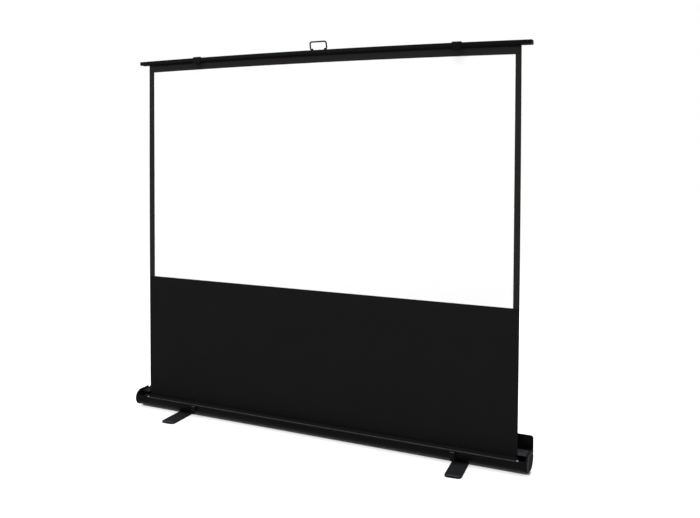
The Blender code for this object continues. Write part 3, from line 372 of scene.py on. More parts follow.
class Effects:
    """The node groups that the finishes share, each built once."""

    def __init__(self) -> None:
        """Builds every group."""
        self.stipple = self._stipple()
        self.weave = self._weave()
        self.brushed = self._brushed()
        self.dust = self._dust()
        self.rub_and_highlight = self._rub_and_highlight()

    def _stipple(self) -> bpy.types.NodeTree:
        """Paint's peel or a mould's fine pitting: two noises, the finer one a fifth as strong."""
        tree, bench, start, end = node_group(
            "stipple", {"Vector": (VECTOR, None), "Scale": (FLOAT, 400.0)}, {"Height": FLOAT, "Tone": FLOAT})
        where, scale = start.outputs[0], start.outputs[1]
        coarse = bench.noise(where, scale, 2.0)
        fine = bench.noise(where, bench.math("MULTIPLY", scale, 4.0), 1.0)
        tree.links.new(bench.math("MULTIPLY_ADD", fine, 0.2, coarse), end.inputs["Height"])
        tree.links.new(bench.noise(where, 7.0, 3.0), end.inputs["Tone"])
        return tree

    def _weave(self) -> bpy.types.NodeTree:
        """A plain weave: upright and level threads as sine bands, the higher of the two showing."""
        tree, bench, start, end = node_group(
            "weave", {"Vector": (VECTOR, None), "Threads": (FLOAT, 1500.0)}, {"Height": FLOAT, "Tone": FLOAT})
        bands = [bench.add("ShaderNodeTexWave", {"Vector": start.outputs[0], "Scale": start.outputs[1],
                                                 "Distortion": 0.6, "Detail": 1.0},
                           wave_type="BANDS", bands_direction=direction).outputs[1] for direction in "XZ"]
        tree.links.new(bench.math("MAXIMUM", *bands), end.inputs["Height"])
        tree.links.new(bench.noise(start.outputs[0], 5.0, 3.0), end.inputs["Tone"])
        return tree

    def _brushed(self) -> bpy.types.NodeTree:
        """Drawing lines on metal: noise squeezed across the line's direction."""
        tree, bench, start, end = node_group(
            "brushed", {"Vector": (VECTOR, None), "Scale": (FLOAT, 60.0)}, {"Height": FLOAT, "Tone": FLOAT})
        squeezed = bench.add("ShaderNodeMapping", {"Vector": start.outputs[0], "Scale": (0.04, 6.0, 6.0)})
        lines = bench.noise(squeezed.outputs[0], start.outputs[1], 4.0, Roughness=0.7)
        tree.links.new(lines, end.inputs["Height"])
        tree.links.new(bench.noise(start.outputs[0], 22.0, 2.0), end.inputs["Tone"])
        return tree

    def _dust(self) -> bpy.types.NodeTree:
        """Dust that has settled: patches of noise where the face looks up."""
        tree, bench, start, end = node_group(
            "settled_dust", {"Vector": (VECTOR, None), "Amount": (FLOAT, 0.1)}, {"Mask": FLOAT})
        facing = bench.add("ShaderNodeSeparateXYZ", {0: bench.add("ShaderNodeNewGeometry").outputs["Normal"]})
        up = bench.math("SUBTRACT", facing.outputs[2], 0.3, clamp=True)
        patches = bench.math("MULTIPLY", up, bench.noise(start.outputs[0], 18.0, 5.0))
        mask = bench.math("MULTIPLY", patches, start.outputs[1], clamp=True)
        tree.links.new(mask, end.inputs["Mask"])
        return tree

    def _rub_and_highlight(self) -> bpy.types.NodeTree:
        """Rubbed edges and painted highlights: the piece's own rim attribute, broken up by noise."""
        tree, bench, start, end = node_group(
            "rubbed_edge_and_highlight", {"Vector": (VECTOR, None), "Amount": (FLOAT, 0.3)}, {"Mask": FLOAT})
        rim = bench.add("ShaderNodeAttribute", attribute_name="rim")
        patches = bench.span(bench.noise(start.outputs[0], 45.0, 4.0), 0.4, 1.4)
        broken = bench.math("MULTIPLY", rim.outputs["Fac"], patches)
        tree.links.new(bench.math("MULTIPLY", broken, start.outputs[1], clamp=True), end.inputs["Mask"])
        return tree


# ---------------------------------------------------------------- finishes

class Texture(Enum):
    """Which shared effect gives a finish its fine relief."""

    STIPPLE = "stipple"
    WEAVE = "weave"
    BRUSHED = "brushed"


def display(*levels: float) -> Color:
    """Display levels from 0 to 255 as linear light: a plain share when dark, else the 2.4 power curve."""
    share = np.asarray(levels, float) / 255
    curve = ((share + 0.055) / 1.055) ** 2.4
    return tuple(np.where(share <= 0.04045, share / PLAIN_LEVEL, curve).tolist())


@dataclass(frozen=True)
class Finish:
    """One surface finish: its colour, gloss and fine relief, with dust, and a rim colour for rubbed edges and
    painted highlights.
    """

    name: str
    color: Color
    roughness: float
    specular: float = 0.2
    metallic: float = 0.0
    texture: Texture = Texture.STIPPLE
    scale: float = 400.0
    relief: float = 0.00004
    strength: float = 0.3
    tone_spread: float = 0.25
    gloss_spread: float = 0.08
    dust: float = 0.0
    dust_color: Color = (0.12, 0.12, 0.12)
    rub_and_highlight: float = 0.0
    rub_and_highlight_color: Color = (0.05, 0.05, 0.052)

    def material(self, effects: Effects) -> bpy.types.Material:
        """The finish as a material.

        The colour runs between a darker and a lighter tone of itself, then takes on dust, and a rim colour
        for rubbed edges and painted highlights. The roughness follows the same slow tone, and the fine relief
        goes in as bump.

        Args:
            effects: The shared node groups.

        Returns:
            The material.
        """
        material = bpy.data.materials.new(self.name)
        material.use_nodes = True
        bench = Bench(material.node_tree)
        shader = material.node_tree.nodes["Principled BSDF"]
        where = bench.add("ShaderNodeTexCoord").outputs["Object"]
        tree = getattr(effects, self.texture.value)
        relief = bench.add("ShaderNodeGroup", node_tree=tree)
        dust = bench.add("ShaderNodeGroup", node_tree=effects.dust)
        rub_and_highlight = bench.add("ShaderNodeGroup", node_tree=effects.rub_and_highlight)
        for group, setting in ((relief, self.scale), (dust, self.dust), (rub_and_highlight, self.rub_and_highlight)):
            material.node_tree.links.new(where, group.inputs[0])
            group.inputs[1].default_value = setting
        dark = [channel * (1 - self.tone_spread) for channel in self.color]
        light = [min(1.0, channel * (1 + self.tone_spread)) for channel in self.color]
        color = bench.blend(relief.outputs["Tone"], (*dark, 1.0), (*light, 1.0))
        color = bench.blend(dust.outputs["Mask"], color, (*self.dust_color, 1.0))
        color = bench.blend(rub_and_highlight.outputs["Mask"], color, (*self.rub_and_highlight_color, 1.0))
        rough = bench.span(relief.outputs["Tone"], self.roughness - self.gloss_spread,
                           min(1.0, self.roughness + self.gloss_spread))
        bump = bench.add("ShaderNodeBump", {"Height": relief.outputs["Height"], "Distance": self.relief,
                                            "Strength": self.strength})
        links = material.node_tree.links
        links.new(color, shader.inputs["Base Color"])
        links.new(rough, shader.inputs["Roughness"])
        links.new(bump.outputs[0], shader.inputs["Normal"])
        shader.inputs["Specular IOR Level"].default_value = self.specular
        shader.inputs["Metallic"].default_value = self.metallic
        return material


FINISHES = {finish.name: finish for finish in (
    # case_paint's rim colour is the painted highlight along the lip.
    Finish("case_paint", display(11, 11, 12), 0.46, 0.03, scale=900.0, dust=0.02,
           rub_and_highlight=0.9, rub_and_highlight_color=display(74, 74, 76)),
    Finish("bar_paint", display(10, 11, 13), 0.45, 0.03, scale=900.0, dust=0.01,
           rub_and_highlight=0.25, rub_and_highlight_color=display(50, 51, 55)),
    Finish("arm_paint", display(22, 22, 24), 0.38, 0.12, scale=800.0, rub_and_highlight=0.3),
    Finish("black_steel", display(12, 12, 13), 0.44, 0.04, scale=700.0, rub_and_highlight=0.3),
    Finish("bright_steel", (0.66, 0.66, 0.68), 0.24, 0.5, 1.0, Texture.BRUSHED, 80.0,
           strength=0.15, tone_spread=0.12),
    Finish("bare_steel", display(62, 62, 65), 0.42, 0.5, 1.0, Texture.BRUSHED, 80.0,
           strength=0.15, tone_spread=0.2),
    Finish("aluminium", (0.45, 0.45, 0.47), 0.34, 0.5, 1.0, Texture.BRUSHED, 60.0,
           strength=0.2, tone_spread=0.15),
    Finish("dull_aluminium", display(34, 34, 36), 0.45, 0.5, 1.0, Texture.BRUSHED, 60.0,
           strength=0.2, tone_spread=0.2),
    Finish("moulded_black", display(17, 17, 19), 0.60, 0.012, scale=1400.0, relief=0.00006,
           rub_and_highlight=0.5, rub_and_highlight_color=display(31, 31, 34)),
    # Moulded black whose rim colour is the painted highlight on the right cap's deck.
    Finish("moulded_black_painted_highlight", display(17, 17, 19), 0.55, 0.04, scale=1400.0, relief=0.00008,
           rub_and_highlight=0.8, rub_and_highlight_color=display(56, 57, 63)),
    Finish("screw_steel", display(150, 150, 154), 0.42, 0.5, 1.0, Texture.BRUSHED, 80.0,
           strength=0.1, tone_spread=0.1),
    # foot_grey's rim colour is the painted highlight on the feet's tips.
    Finish("foot_grey", display(33, 35, 38), 0.50, 0.10, scale=1100.0, relief=0.00008,
           dust=0.03, rub_and_highlight=0.9, rub_and_highlight_color=display(84, 86, 92)),
    Finish("rubber", display(20, 20, 20), 0.85, 0.10, scale=600.0, relief=0.0001, strength=0.5),
    Finish("sheet_white", (0.96, 0.96, 0.965), 0.90, 0.05, texture=Texture.WEAVE, scale=700.0,
           relief=0.00005, tone_spread=0.01, gloss_spread=0.03),
    Finish("sheet_black", display(25, 25, 25), 0.95, 0.0, texture=Texture.WEAVE, scale=700.0,
           relief=0.00008, tone_spread=0.08, gloss_spread=0.03),
    Finish("border_print", display(38, 36, 35), 0.85, 0.02, texture=Texture.WEAVE, scale=700.0,
           relief=0.00006, tone_spread=0.08, gloss_spread=0.03),
)}


class Wardrobe:
    """Makes each finish once and dresses pieces in it."""

    def __init__(self) -> None:
        """Builds the shared effects and every finish's material."""
        effects = Effects()
        self.materials = {name: finish.material(effects) for name, finish in FINISHES.items()}
        record = frame["record"]
        self.slots = {part["node"]: part["material_slot"] for part in record["subparts"]}
        self.bodies = {node: body for body, nodes in record["behaviour"]["bodies"].items() for node in nodes}

    def dress(self, obj: bpy.types.Object, slot: str, body: str, replaces: Sequence[str] = (),
              smooth_deg: float = SHARP_DEG, finish: str | None = None) -> bpy.types.Object:
        """Gives a piece its finish, shading and body, and hides the nodes that it stands for.

        Args:
            obj: The piece.
            slot: The record's material slot.
            body: The body that it rides on.
            replaces: The CAD nodes that it stands for.
            smooth_deg: The angle above which an edge stays sharp.
            finish: The finish to wear, where it isn't the slot's own.

        Returns:
            The piece.
        """
        obj.data.materials.clear()
        obj.data.materials.append(self.materials[finish or slot])
        obj.data.shade_smooth()
        obj.data.set_sharp_from_angle(angle=radians(smooth_deg))
        if replaces:
            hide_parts(*replaces)
        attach(obj, body)
        LOG.info("%s: %d faces, rides on %s", obj.name, len(obj.data.polygons), body)
        return obj

    def refine(self, node: str, bevel: float = 0.0004,
               smooth_deg: float = SHARP_DEG) -> bpy.types.Object:
        """A finished copy of a CAD node: welded, its flats made whole and its edges broken.

        Args:
            node: The node's name.
            bevel: The width of the broken edges, or 0 for none.
            smooth_deg: The angle above which an edge is broken and stays sharp.

        Returns:
            The piece that stands for the node.
        """
        mesh = frame["nodes"][node].data.copy()
        mesh.name = node + "_finished"
        welded = bmesh.new()
        welded.from_mesh(mesh)
        bmesh.ops.remove_doubles(welded, verts=welded.verts, dist=WELD)
        bmesh.ops.dissolve_limit(welded, angle_limit=radians(0.5), verts=welded.verts, edges=welded.edges)
        welded.to_mesh(mesh)
        welded.free()
        obj = linked(node + "_finished", mesh)
        self.dress(obj, self.slots[node], self.bodies[node], [node], smooth_deg)
        if bevel:
            break_edges(obj, bevel, 2, smooth_deg)
        return obj


def mark_rim(obj: bpy.types.Object, weights: np.ndarray) -> None:
    """Writes each point's share of the rim colour, from 0 to 1, as the piece's rim attribute: rubbed edges
    and painted highlights.
    """
    attribute = obj.data.attributes.new("rim", "FLOAT", "POINT")
    attribute.data.foreach_set("value", np.asarray(weights, np.float32))


def points_of(obj: bpy.types.Object) -> np.ndarray:
    """The object's mesh points, one to a row."""
    points = np.empty(3 * len(obj.data.vertices))
    obj.data.vertices.foreach_get("co", points)
    return points.reshape(-1, 3)


def per_face(obj: bpy.types.Object, vector: str) -> np.ndarray:
    """Each face's "center" or "normal", one to a row."""
    rows = np.empty(3 * len(obj.data.polygons))
    obj.data.polygons.foreach_get(vector, rows)
    return rows.reshape(-1, 3)


def paint_faces(obj: bpy.types.Object, numbers: np.ndarray) -> None:
    """Gives each face the material with this number on the object."""
    obj.data.polygons.foreach_set("material_index", np.asarray(numbers).astype(np.int32))


def break_edges(obj: bpy.types.Object, width: float, segments: int, angle_deg: float) -> None:
    """Adds a live bevel to the edges that turn by more than the angle."""
    broken = obj.modifiers.new("broken_edges", "BEVEL")
    broken.width, broken.segments, broken.harden_normals = width, segments, True
    broken.limit_method, broken.angle_limit = "ANGLE", radians(angle_deg)


# ---------------------------------------------------------------- the bar's bow, shared by what rides on it

@dataclass(frozen=True)
class Bow:
    """The upward bow that the arms press into the top bar."""

    length: float = 2.386
    rise: float = 0.011

    def share(self, x: np.ndarray) -> np.ndarray:
        """How much of the rise is reached at x: one less the square of x over the half length."""
        return 1.0 - (2 * np.asarray(x) / self.length) ** 2


# ---------------------------------------------------------------- studio

@dataclass(frozen=True)
class Studio:
    """The camera at the photographed view, a white surround and soft light."""

    camera_at: tuple = (1.98942, -3.75139, 1.57337)
    yaw: float = 0.44073
    pitch: float = -0.02901
    roll: float = 0.00415
    focal_px: float = 769.2409
    shift: float = -0.12
    image_width_px: float = 700.0
    sensor: float = 36.0
    world_light: float = 0.55
    floor_size: float = 60.0
    floor_color: float = 0.9
    floor_glow: float = 0.56
    contact: tuple = (-0.001, 0.005)
    case_contact: tuple = (-0.012, 0.032)

    def build(self) -> None:
        """Sets up the camera, the world, the lamps and the floor."""
        self.camera()
        self.world()
        self.lamps()
        self.floor()

    def camera(self) -> None:
        """A camera whose columns are its right, its up and its backward directions, rolled a little."""
        data = bpy.data.cameras.new("view")
        data.sensor_width, data.shift_y = self.sensor, self.shift
        data.lens = self.sensor * self.focal_px / self.image_width_px
        data.clip_end = 100.0
        forward = Vector((-sin(self.yaw) * cos(self.pitch), cos(self.yaw) * cos(self.pitch), sin(self.pitch)))
        right = Vector((cos(self.yaw), sin(self.yaw), 0.0))
        up = right.cross(forward)
        level, tilted = cos(self.roll), sin(self.roll)
        columns = (level * right + tilted * up, level * up - tilted * right, -forward)
        camera = linked("view", data)
        camera.matrix_world = Matrix.Translation(self.camera_at) @ Matrix(columns).transposed().to_4x4()
        bpy.context.scene.camera = camera

    def world(self) -> None:
        """White to the camera and in reflections and glass, and an even soft light on everything."""
        world = bpy.data.worlds.new("surround")
        world.use_nodes = True
        bpy.context.scene.world = world
        bench = Bench(world.node_tree)
        background = world.node_tree.nodes["Background"]
        background.inputs["Color"].default_value = (1.0, 1.0, 1.0, 1.0)
        strength = bench.span(self.seen_rays(bench), self.world_light, 1.0)
        world.node_tree.links.new(strength, background.inputs["Strength"])

    def seen_rays(self, bench: Bench) -> bpy.types.NodeSocket:
        """1 for camera, glossy and transmission rays, else 0."""
        path = bench.add("ShaderNodeLightPath")
        seen = bench.math("MAXIMUM", path.outputs["Is Camera Ray"], path.outputs["Is Glossy Ray"])
        return bench.math("MAXIMUM", seen, path.outputs["Is Transmission Ray"])

    def lamps(self) -> None:
        """A broad key from the front left, a fill from the right and a soft box overhead."""
        for name, place, size, power in (("key", (-2.6, -4.2, 3.6), 2.6, 95.0),
                                         ("fill", (4.6, -2.4, 2.6), 2.2, 45.0),
                                         ("overhead", (0.0, -0.6, 5.0), 3.4, 80.0),
                                         ("back", (0.5, 4.6, 3.4), 2.8, 70.0)):
            data = bpy.data.lights.new(name, "AREA")
            data.shape, data.size, data.energy = "DISK", size, power
            lamp = linked(name, data)
            lamp.location = place
            aim = Vector((0.0, 0.0, 0.9)) - Vector(place)
            lamp.rotation_euler = aim.to_track_quat("-Z", "Y").to_euler()

    def floor(self) -> None:
        """A pale floor that shows white to the camera away from the object's shadow."""
        half = self.floor_size / 2
        corners = np.array(((-half, -half, 0), (half, -half, 0), (half, half, 0), (-half, half, 0)), float)
        floor = mesh_object("floor", corners, [[0, 1, 2, 3]])
        material = bpy.data.materials.new("floor")
        material.use_nodes = True
        bench = Bench(material.node_tree)
        shader = material.node_tree.nodes["Principled BSDF"]
        tone = bench.noise(bench.add("ShaderNodeTexCoord").outputs["Object"], 1.5, 2.0)
        pale = [(self.floor_color - spread,) * 3 + (1.0,) for spread in (0.01, 0.0)]
        links = material.node_tree.links
        links.new(bench.blend(tone, *pale), shader.inputs["Base Color"])
        glow = bench.span(self.seen_rays(bench), 0.0, self.floor_glow)
        links.new(bench.math("MULTIPLY", glow, self.clear_floor(bench)), shader.inputs["Emission Strength"])
        shader.inputs["Emission Color"].default_value = (1.0, 1.0, 1.0, 1.0)
        shader.inputs["Roughness"].default_value = 0.9
        shader.inputs["Specular IOR Level"].default_value = 0.0
        floor.data.materials.append(material)

    def clear_floor(self, bench: Bench) -> bpy.types.NodeSocket:
        """0 under the case's flat, and 1 just outside it. The feet turn, so they stay out of it.

        The distance to a rectangle is the larger of its two coordinates' excess over its half sizes.

        Args:
            bench: The floor material's bench.

        Returns:
            The mask.
        """
        place = bench.add("ShaderNodeTexCoord").outputs["Object"]
        front, rear = self.case_contact
        parts = bench.add("ShaderNodeSeparateXYZ", {0: place}).outputs
        middle, half = (0.0, (front + rear) / 2), (Case().length / 2, (rear - front) / 2)
        away = [bench.math("ABSOLUTE", bench.math("SUBTRACT", parts[i], middle[i])) for i in (0, 1)]
        nearest = bench.math("MAXIMUM", *(bench.math("SUBTRACT", away[i], half[i]) for i in (0, 1)))
        return bench.add("ShaderNodeMapRange", {"Value": nearest, "From Min": self.contact[0],
                                                "From Max": self.contact[1]},
                         interpolation_type="SMOOTHSTEP").outputs[0]


# ---------------------------------------------------------------- sheet

@dataclass(frozen=True)
class Sheet:
    """The pulled-up sheet: a white picture area in a black border with a long black drop."""

    view_width: float = 2.214
    view_height: float = 1.245
    view_bottom: float = 0.810
    side_border: float = 0.033
    picture_shift: float = 0.0035
    edge_belly: float = 0.003
    tuck_top: float = 2.1085
    view_rise: float = 0.011
    # How far below the bar the surround stays the darker black: painted shade under the bar.
    hem: float = 0.018
    roller_height: float = 0.0555
    thickness: float = 0.0006
    mean_bow: float = 0.7
    keep: float = 0.0305
    strip_drops: tuple = (0.0505, 0.0342, 0.0178, 0.0)
    strip_inset: float = 0.0004
    strip_front: float = 0.0010
    bow: Bow = Bow()
    across: int = 72
    border_steps: int = 3
    drop_steps: int = 24
    view_steps: int = 40
    top_steps: int = 3

    def levels(self, x: np.ndarray) -> np.ndarray:
        """The heights at x of the sheet's foot, the picture's two edges and the sheet's top."""
        flat = np.ones_like(x)
        view_top = self.view_bottom + self.view_height
        return np.stack((flat * self.roller_height, flat * self.view_bottom,
                         view_top + self.view_rise * self.bow.share(x),
                         self.tuck_top + self.bow.rise * self.bow.share(x)))

    def grid(self) -> np.ndarray:
        """The whole sheet as a grid: x across it, and heights spread evenly inside each of its bands.

        The two long edges belly out by half a sine wave between the roller and the bar.

        Returns:
            Points of the sheet's middle surface, as an array of (row, column, 3).
        """
        view, edge = self.view_width / 2, self.view_width / 2 + self.side_border
        left, right = self.picture_shift - view, self.picture_shift + view
        x = np.concatenate((np.linspace(-edge, left, self.border_steps + 1)[:-1],
                            np.linspace(left, right, self.across + 1),
                            np.linspace(right, edge, self.border_steps + 1)[1:]))
        levels = self.levels(x)
        rows = []
        for band, steps in enumerate((self.drop_steps, self.view_steps, self.top_steps)):
            share = np.linspace(0.0, 1.0, steps + 1)[bool(band):, None]
            rows.append(levels[band] * (1 - share) + levels[band + 1] * share)
        z = np.vstack(rows)
        height = (z - self.roller_height) / (self.tuck_top - self.roller_height)
        outward = np.sign(x) * np.clip((np.abs(x) - view) / self.side_border, 0.0, 1.0)
        belly = self.edge_belly * outward * np.sin(pi * np.clip(height, 0.0, 1.0))
        return np.stack((x + belly, np.zeros_like(z), z), axis=-1)

    def strip_grid(self) -> np.ndarray:
        """The top border as a strip that hangs from the bar, just in front of the sheet."""
        half = self.view_width / 2 + self.side_border - self.strip_inset
        x = np.linspace(-half, half, self.across + 1)[None, :]
        z = self.tuck_top + self.bow.rise * self.bow.share(x) - np.array(self.strip_drops)[:, None]
        return np.stack((x + np.zeros_like(z), np.full_like(z, -self.strip_front), z), axis=-1)

    def cloth(self, name: str, cells: np.ndarray, wardrobe: Wardrobe, slot: str,
              grid: np.ndarray, body: str = "case") -> bpy.types.Object:
        """The grid's chosen cells as thin cloth: a face, a black back and a rim round each free edge.

        Args:
            name: The piece's name.
            cells: Which cells of the grid belong to the piece.
            wardrobe: The finishes.
            slot: The face's material slot.
            grid: The points of the cloth's middle surface.
            body: The body that the piece rides on.

        Returns:
            The piece.
        """
        rows, columns = grid.shape[:2]
        faces = quads(rows, columns, close_columns=False)[cells.ravel()]
        edges = np.stack((faces, np.roll(faces, -1, axis=1)), axis=-1).reshape(-1, 2)
        _, back, seen = np.unique(np.sort(edges, axis=1), axis=0, return_index=True, return_counts=True)
        free = edges[back[seen == 1]]
        count = rows * columns
        rim = np.column_stack((free[:, ::-1], free + count))
        all_faces = np.vstack((faces, faces[:, ::-1] + count, rim))
        half = np.array((0.0, self.thickness / 2, 0.0))
        used, compact = np.unique(all_faces, return_inverse=True)
        points = np.vstack((grid.reshape(-1, 3) - half, grid.reshape(-1, 3) + half))[used]
        obj = mesh_object(name, points, compact.reshape(all_faces.shape).tolist())
        wardrobe.dress(obj, slot, body)
        obj.data.materials.append(wardrobe.materials["sheet_black"])
        obj.data.materials.append(wardrobe.materials["border_print"])
        x, _, z = per_face(obj, "center").T
        # A band of that depth under the bar keeps the darker black cloth instead of the lighter border print:
        # painted shade under the bar.
        hem = self.tuck_top + self.bow.rise * self.bow.share(x) - z < self.hem
        border = (z > self.view_bottom) & ~hem & (slot == "sheet_black")
        back = per_face(obj, "normal")[:, 1] > -0.5
        paint_faces(obj, np.where(back, 1, 2 * border))
        return obj

    def build(self, wardrobe: Wardrobe) -> None:
        """Makes the picture area and its surround, and the top strip.

        The strip rides on the bar, so that it still covers the gap over the lip when the bar is down.
        """
        rows = self.drop_steps + self.view_steps + self.top_steps
        columns = self.across + 2 * self.border_steps
        picture = np.zeros((rows, columns), bool)
        shown = slice(self.drop_steps, self.drop_steps + self.view_steps)
        picture[shown, self.border_steps:-self.border_steps] = True
        view = self.cloth("picture_area", picture, wardrobe, "sheet_white", self.grid())
        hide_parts("viewing_surface")
        surround = self.cloth("sheet_surround", ~picture, wardrobe, "sheet_black", self.grid())
        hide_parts("black_border")
        for piece in (view, surround):
            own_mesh(piece)
        strip_cells = np.ones((len(self.strip_drops) - 1, self.across), bool)
        strip = self.cloth("top_border_strip", strip_cells, wardrobe, "sheet_black",
                           self.strip_grid(), "bar")


# ---------------------------------------------------------------- case

@dataclass(frozen=True)
class Case:
    """The floor case: a bent shell with a rolled lip, its partition, rear cover and moulded ends."""

    length: float = 2.404
    front: float = -0.064
    rear: float = 0.080
    floor: float = 0.0135
    wall: float = 0.002
    front_radius: float = 0.045
    rear_radius: float = 0.055
    lip_height: float = 0.0775
    lip_width: float = 0.010
    lip_radius: float = 0.004
    # Where the lip's painted highlight peaks behind the front, and how far it spreads.
    lip_highlight: tuple = (0.005, 0.0032)
    shell_top: float = 0.109
    cap_thickness: float = 0.010
    cap_proud: float = 0.0015
    cap_gap: float = 0.0003
    cap_top: tuple = ((0.041, 0.109), (0.024, 0.106168), (-0.028, 0.106168))
    cap_shoulder: float = 0.094
    cap_notch: tuple = ((0.0815, 0.070), (0.062, 0.086))
    cap_panel_inset: float = 0.0035
    cap_panel_depth: float = 0.0012
    cap_edge: float = 0.0007
    spigot_depth: float = 0.008
    spigot_wall: float = 0.002
    deck_front: tuple = (-0.0100, 0.0893)
    deck_back: tuple = (0.0385, 0.1010)
    deck_edge: float = 1.1425
    deck_tongue: tuple = (0.0030, 1.1180)
    deck_wall: float = 0.002
    deck_ribs: int = 3
    rib_rise: float = 0.0014
    # How much of the deck's painted highlight the left deck takes.
    left_deck_highlight: float = 0.1
    collar_ends: tuple = (1.118, 1.161)
    collar_sheet: float = 0.0010
    fittings: tuple = (("arm_bay_partition", 0.0005), ("partition_rail", 0.0004), ("rear_cover", 0.0006))

    def front_centre(self) -> tuple[float, float]:
        """The centre (y, z) of the front round."""
        return self.front + self.front_radius, self.floor + self.front_radius

    def rear_centre(self) -> tuple[float, float]:
        """The centre (y, z) of the rear round."""
        return self.rear - self.rear_radius, self.floor + self.rear_radius

    def section(self, inset: float) -> np.ndarray:
        """The shell's line from the lip round the front, floor and back, inset from its outer face.

        The lip's bend is an arc that ends where the front round reaches the bend's own height.

        Args:
            inset: How far inside the outer face the line runs.

        Returns:
            Points (y, z).
        """
        centre_y, centre_z = self.front_centre()
        radius = self.front_radius - inset
        bend_z = self.lip_height - inset - self.lip_radius
        reach = sqrt(radius ** 2 - (bend_z - centre_z) ** 2)
        start = 180.0 - np.degrees(np.arcsin((bend_z - centre_z) / radius))
        return np.vstack(([(self.front + self.lip_width, self.lip_height - inset)],
                          arc((centre_y - reach + self.lip_radius, bend_z), self.lip_radius, 90.0, 180.0, 8),
                          arc((centre_y, centre_z), radius, start, 270.0, 36)[1:],
                          arc(self.rear_centre(), self.rear_radius - inset, 270.0, 360.0, 30)))

    def cap_outline(self) -> np.ndarray:
        """The end cap's outline: proud of the shell, level where the bar comes down, notched behind."""
        centre_y, centre_z = self.front_centre()
        radius = self.front_radius + self.cap_proud
        start = 180.0 - np.degrees(np.arcsin((self.cap_shoulder - centre_z) / radius))
        return np.vstack((self.cap_top, arc((centre_y, centre_z), radius, start, 270.0, 36),
                          arc(self.rear_centre(), self.rear_radius + self.cap_proud, 270.0, 360.0, 30),
                          self.cap_notch))

    def build(self, wardrobe: Wardrobe) -> None:
        """Makes the shell and the ends, and finishes the partition, rail, cover and lip screws."""
        half = self.length / 2 - self.cap_thickness - self.cap_gap
        path = np.vstack((self.section(self.wall / 2), [(self.rear - self.wall / 2, self.shell_top)]))
        outline = sheet_section(path, self.wall)
        shell = solid_of_rings("shell", drawn_along_x(outline, np.linspace(-half, half, 25)))
        points = points_of(shell)
        # A painted highlight along the lip: the rim attribute peaks a little behind the lip's front, at the
        # lip's height.
        highlight_at, highlight_reach = self.lip_highlight
        lip_highlight_mask = np.exp(-((points[:, 1] - self.front - highlight_at) ** 2
                            + (points[:, 2] - self.lip_height) ** 2) / highlight_reach ** 2)
        mark_rim(shell, lip_highlight_mask)
        wardrobe.dress(shell, "case_paint", "case", ["case_shell"])
        for side, sign in SIDES:
            self.end_cap(side, sign, wardrobe)
            self.lip_screw(side, wardrobe)
        for node, edge in self.fittings:
            wardrobe.refine(node, edge)

    def end_cap(self, side: str, sign: float, wardrobe: Wardrobe) -> None:
        """A moulded end: a plate with a sunk outer panel, and the spigot that plugs into the shell."""
        inner, outer = sign * (self.length / 2 - self.cap_thickness), sign * self.length / 2
        rings = drawn_along_x(self.cap_outline(), np.array((inner, outer)))
        plate = solid_of_rings("cap_plate_" + side, rings)
        sunk = bmesh.new()
        sunk.from_mesh(plate.data)
        face = max(sunk.faces, key=lambda f: sign * f.calc_center_median().x)
        bmesh.ops.inset_region(sunk, faces=[face], thickness=self.cap_panel_inset, use_even_offset=True)
        bmesh.ops.translate(sunk, verts=face.verts, vec=(-sign * self.cap_panel_depth, 0.0, 0.0))
        sunk.to_mesh(plate.data)
        sunk.free()
        mark_rim(plate, np.abs(points_of(plate)[:, 0]) > self.length / 2 - self.cap_panel_depth / 2)
        wardrobe.dress(plate, "moulded_black", "case", ["end_cap_" + side])
        break_edges(plate, self.cap_edge, 3, SHARP_DEG)
        path = self.section(self.wall + self.cap_gap + self.spigot_wall / 2)[9:]
        stations = np.array((inner - sign * self.spigot_depth, inner + sign * self.spigot_wall))
        rings = drawn_along_x(sheet_section(path, self.spigot_wall), stations)
        spigot = solid_of_rings("cap_spigot_" + side, rings)
        wardrobe.dress(spigot, "moulded_black", "case")
        self.deck(side, inner, sign, wardrobe)
        self.collar(side, inner, sign, wardrobe)

    def collar(self, side: str, inner: float, sign: float, wardrobe: Wardrobe) -> None:
        """The cap's thin collar over the lip's end, up to the screw: the shell's line moved outwards.

        Args:
            side: "left" or "right".
            inner: The x of the cap's inner face.
            sign: -1 at the left and 1 at the right.
            wardrobe: The finishes.
        """
        path = self.section(-(self.cap_gap + self.collar_sheet / 2))[:22]
        stations = np.array((inner + sign * self.spigot_wall, sign * self.collar_ends[sign > 0]))
        rings = drawn_along_x(sheet_section(path, self.collar_sheet), stations)
        collar = solid_of_rings("cap_collar_" + side, rings)
        mark_rim(collar, np.zeros(len(collar.data.vertices)))
        wardrobe.dress(collar, "moulded_black", "case")

    def deck(self, side: str, inner: float, sign: float, wardrobe: Wardrobe) -> None:
        """The cap's ribbed deck behind the roller's end, reaching further in behind the sheet.

        Its line rises evenly to the back and is lifted by the square of a sine for each rib. Each ring is
        stretched along X, point by point, to the deck's edge beside the sheet or to the tongue's behind it.

        Args:
            side: "left" or "right".
            inner: The x of the cap's inner face.
            sign: -1 at the left and 1 at the right.
            wardrobe: The finishes.
        """
        share = np.linspace(0.0, 1.0, 16 * self.deck_ribs + 1)
        line = np.outer(1 - share, self.deck_front) + np.outer(share, self.deck_back)
        line[:, 1] += self.rib_rise * np.sin(pi * self.deck_ribs * share) ** 2
        root = abs(inner) + self.spigot_wall
        rings = drawn_along_x(sheet_section(line, self.deck_wall), np.array((0.0, 1.0)))
        behind, tongue_end = self.deck_tongue
        end = np.where(rings[..., 1] > behind, tongue_end, self.deck_edge)
        rings[..., 0] = sign * (root + rings[..., 0] * (end - root))
        deck = solid_of_rings("cap_deck_" + side, rings)
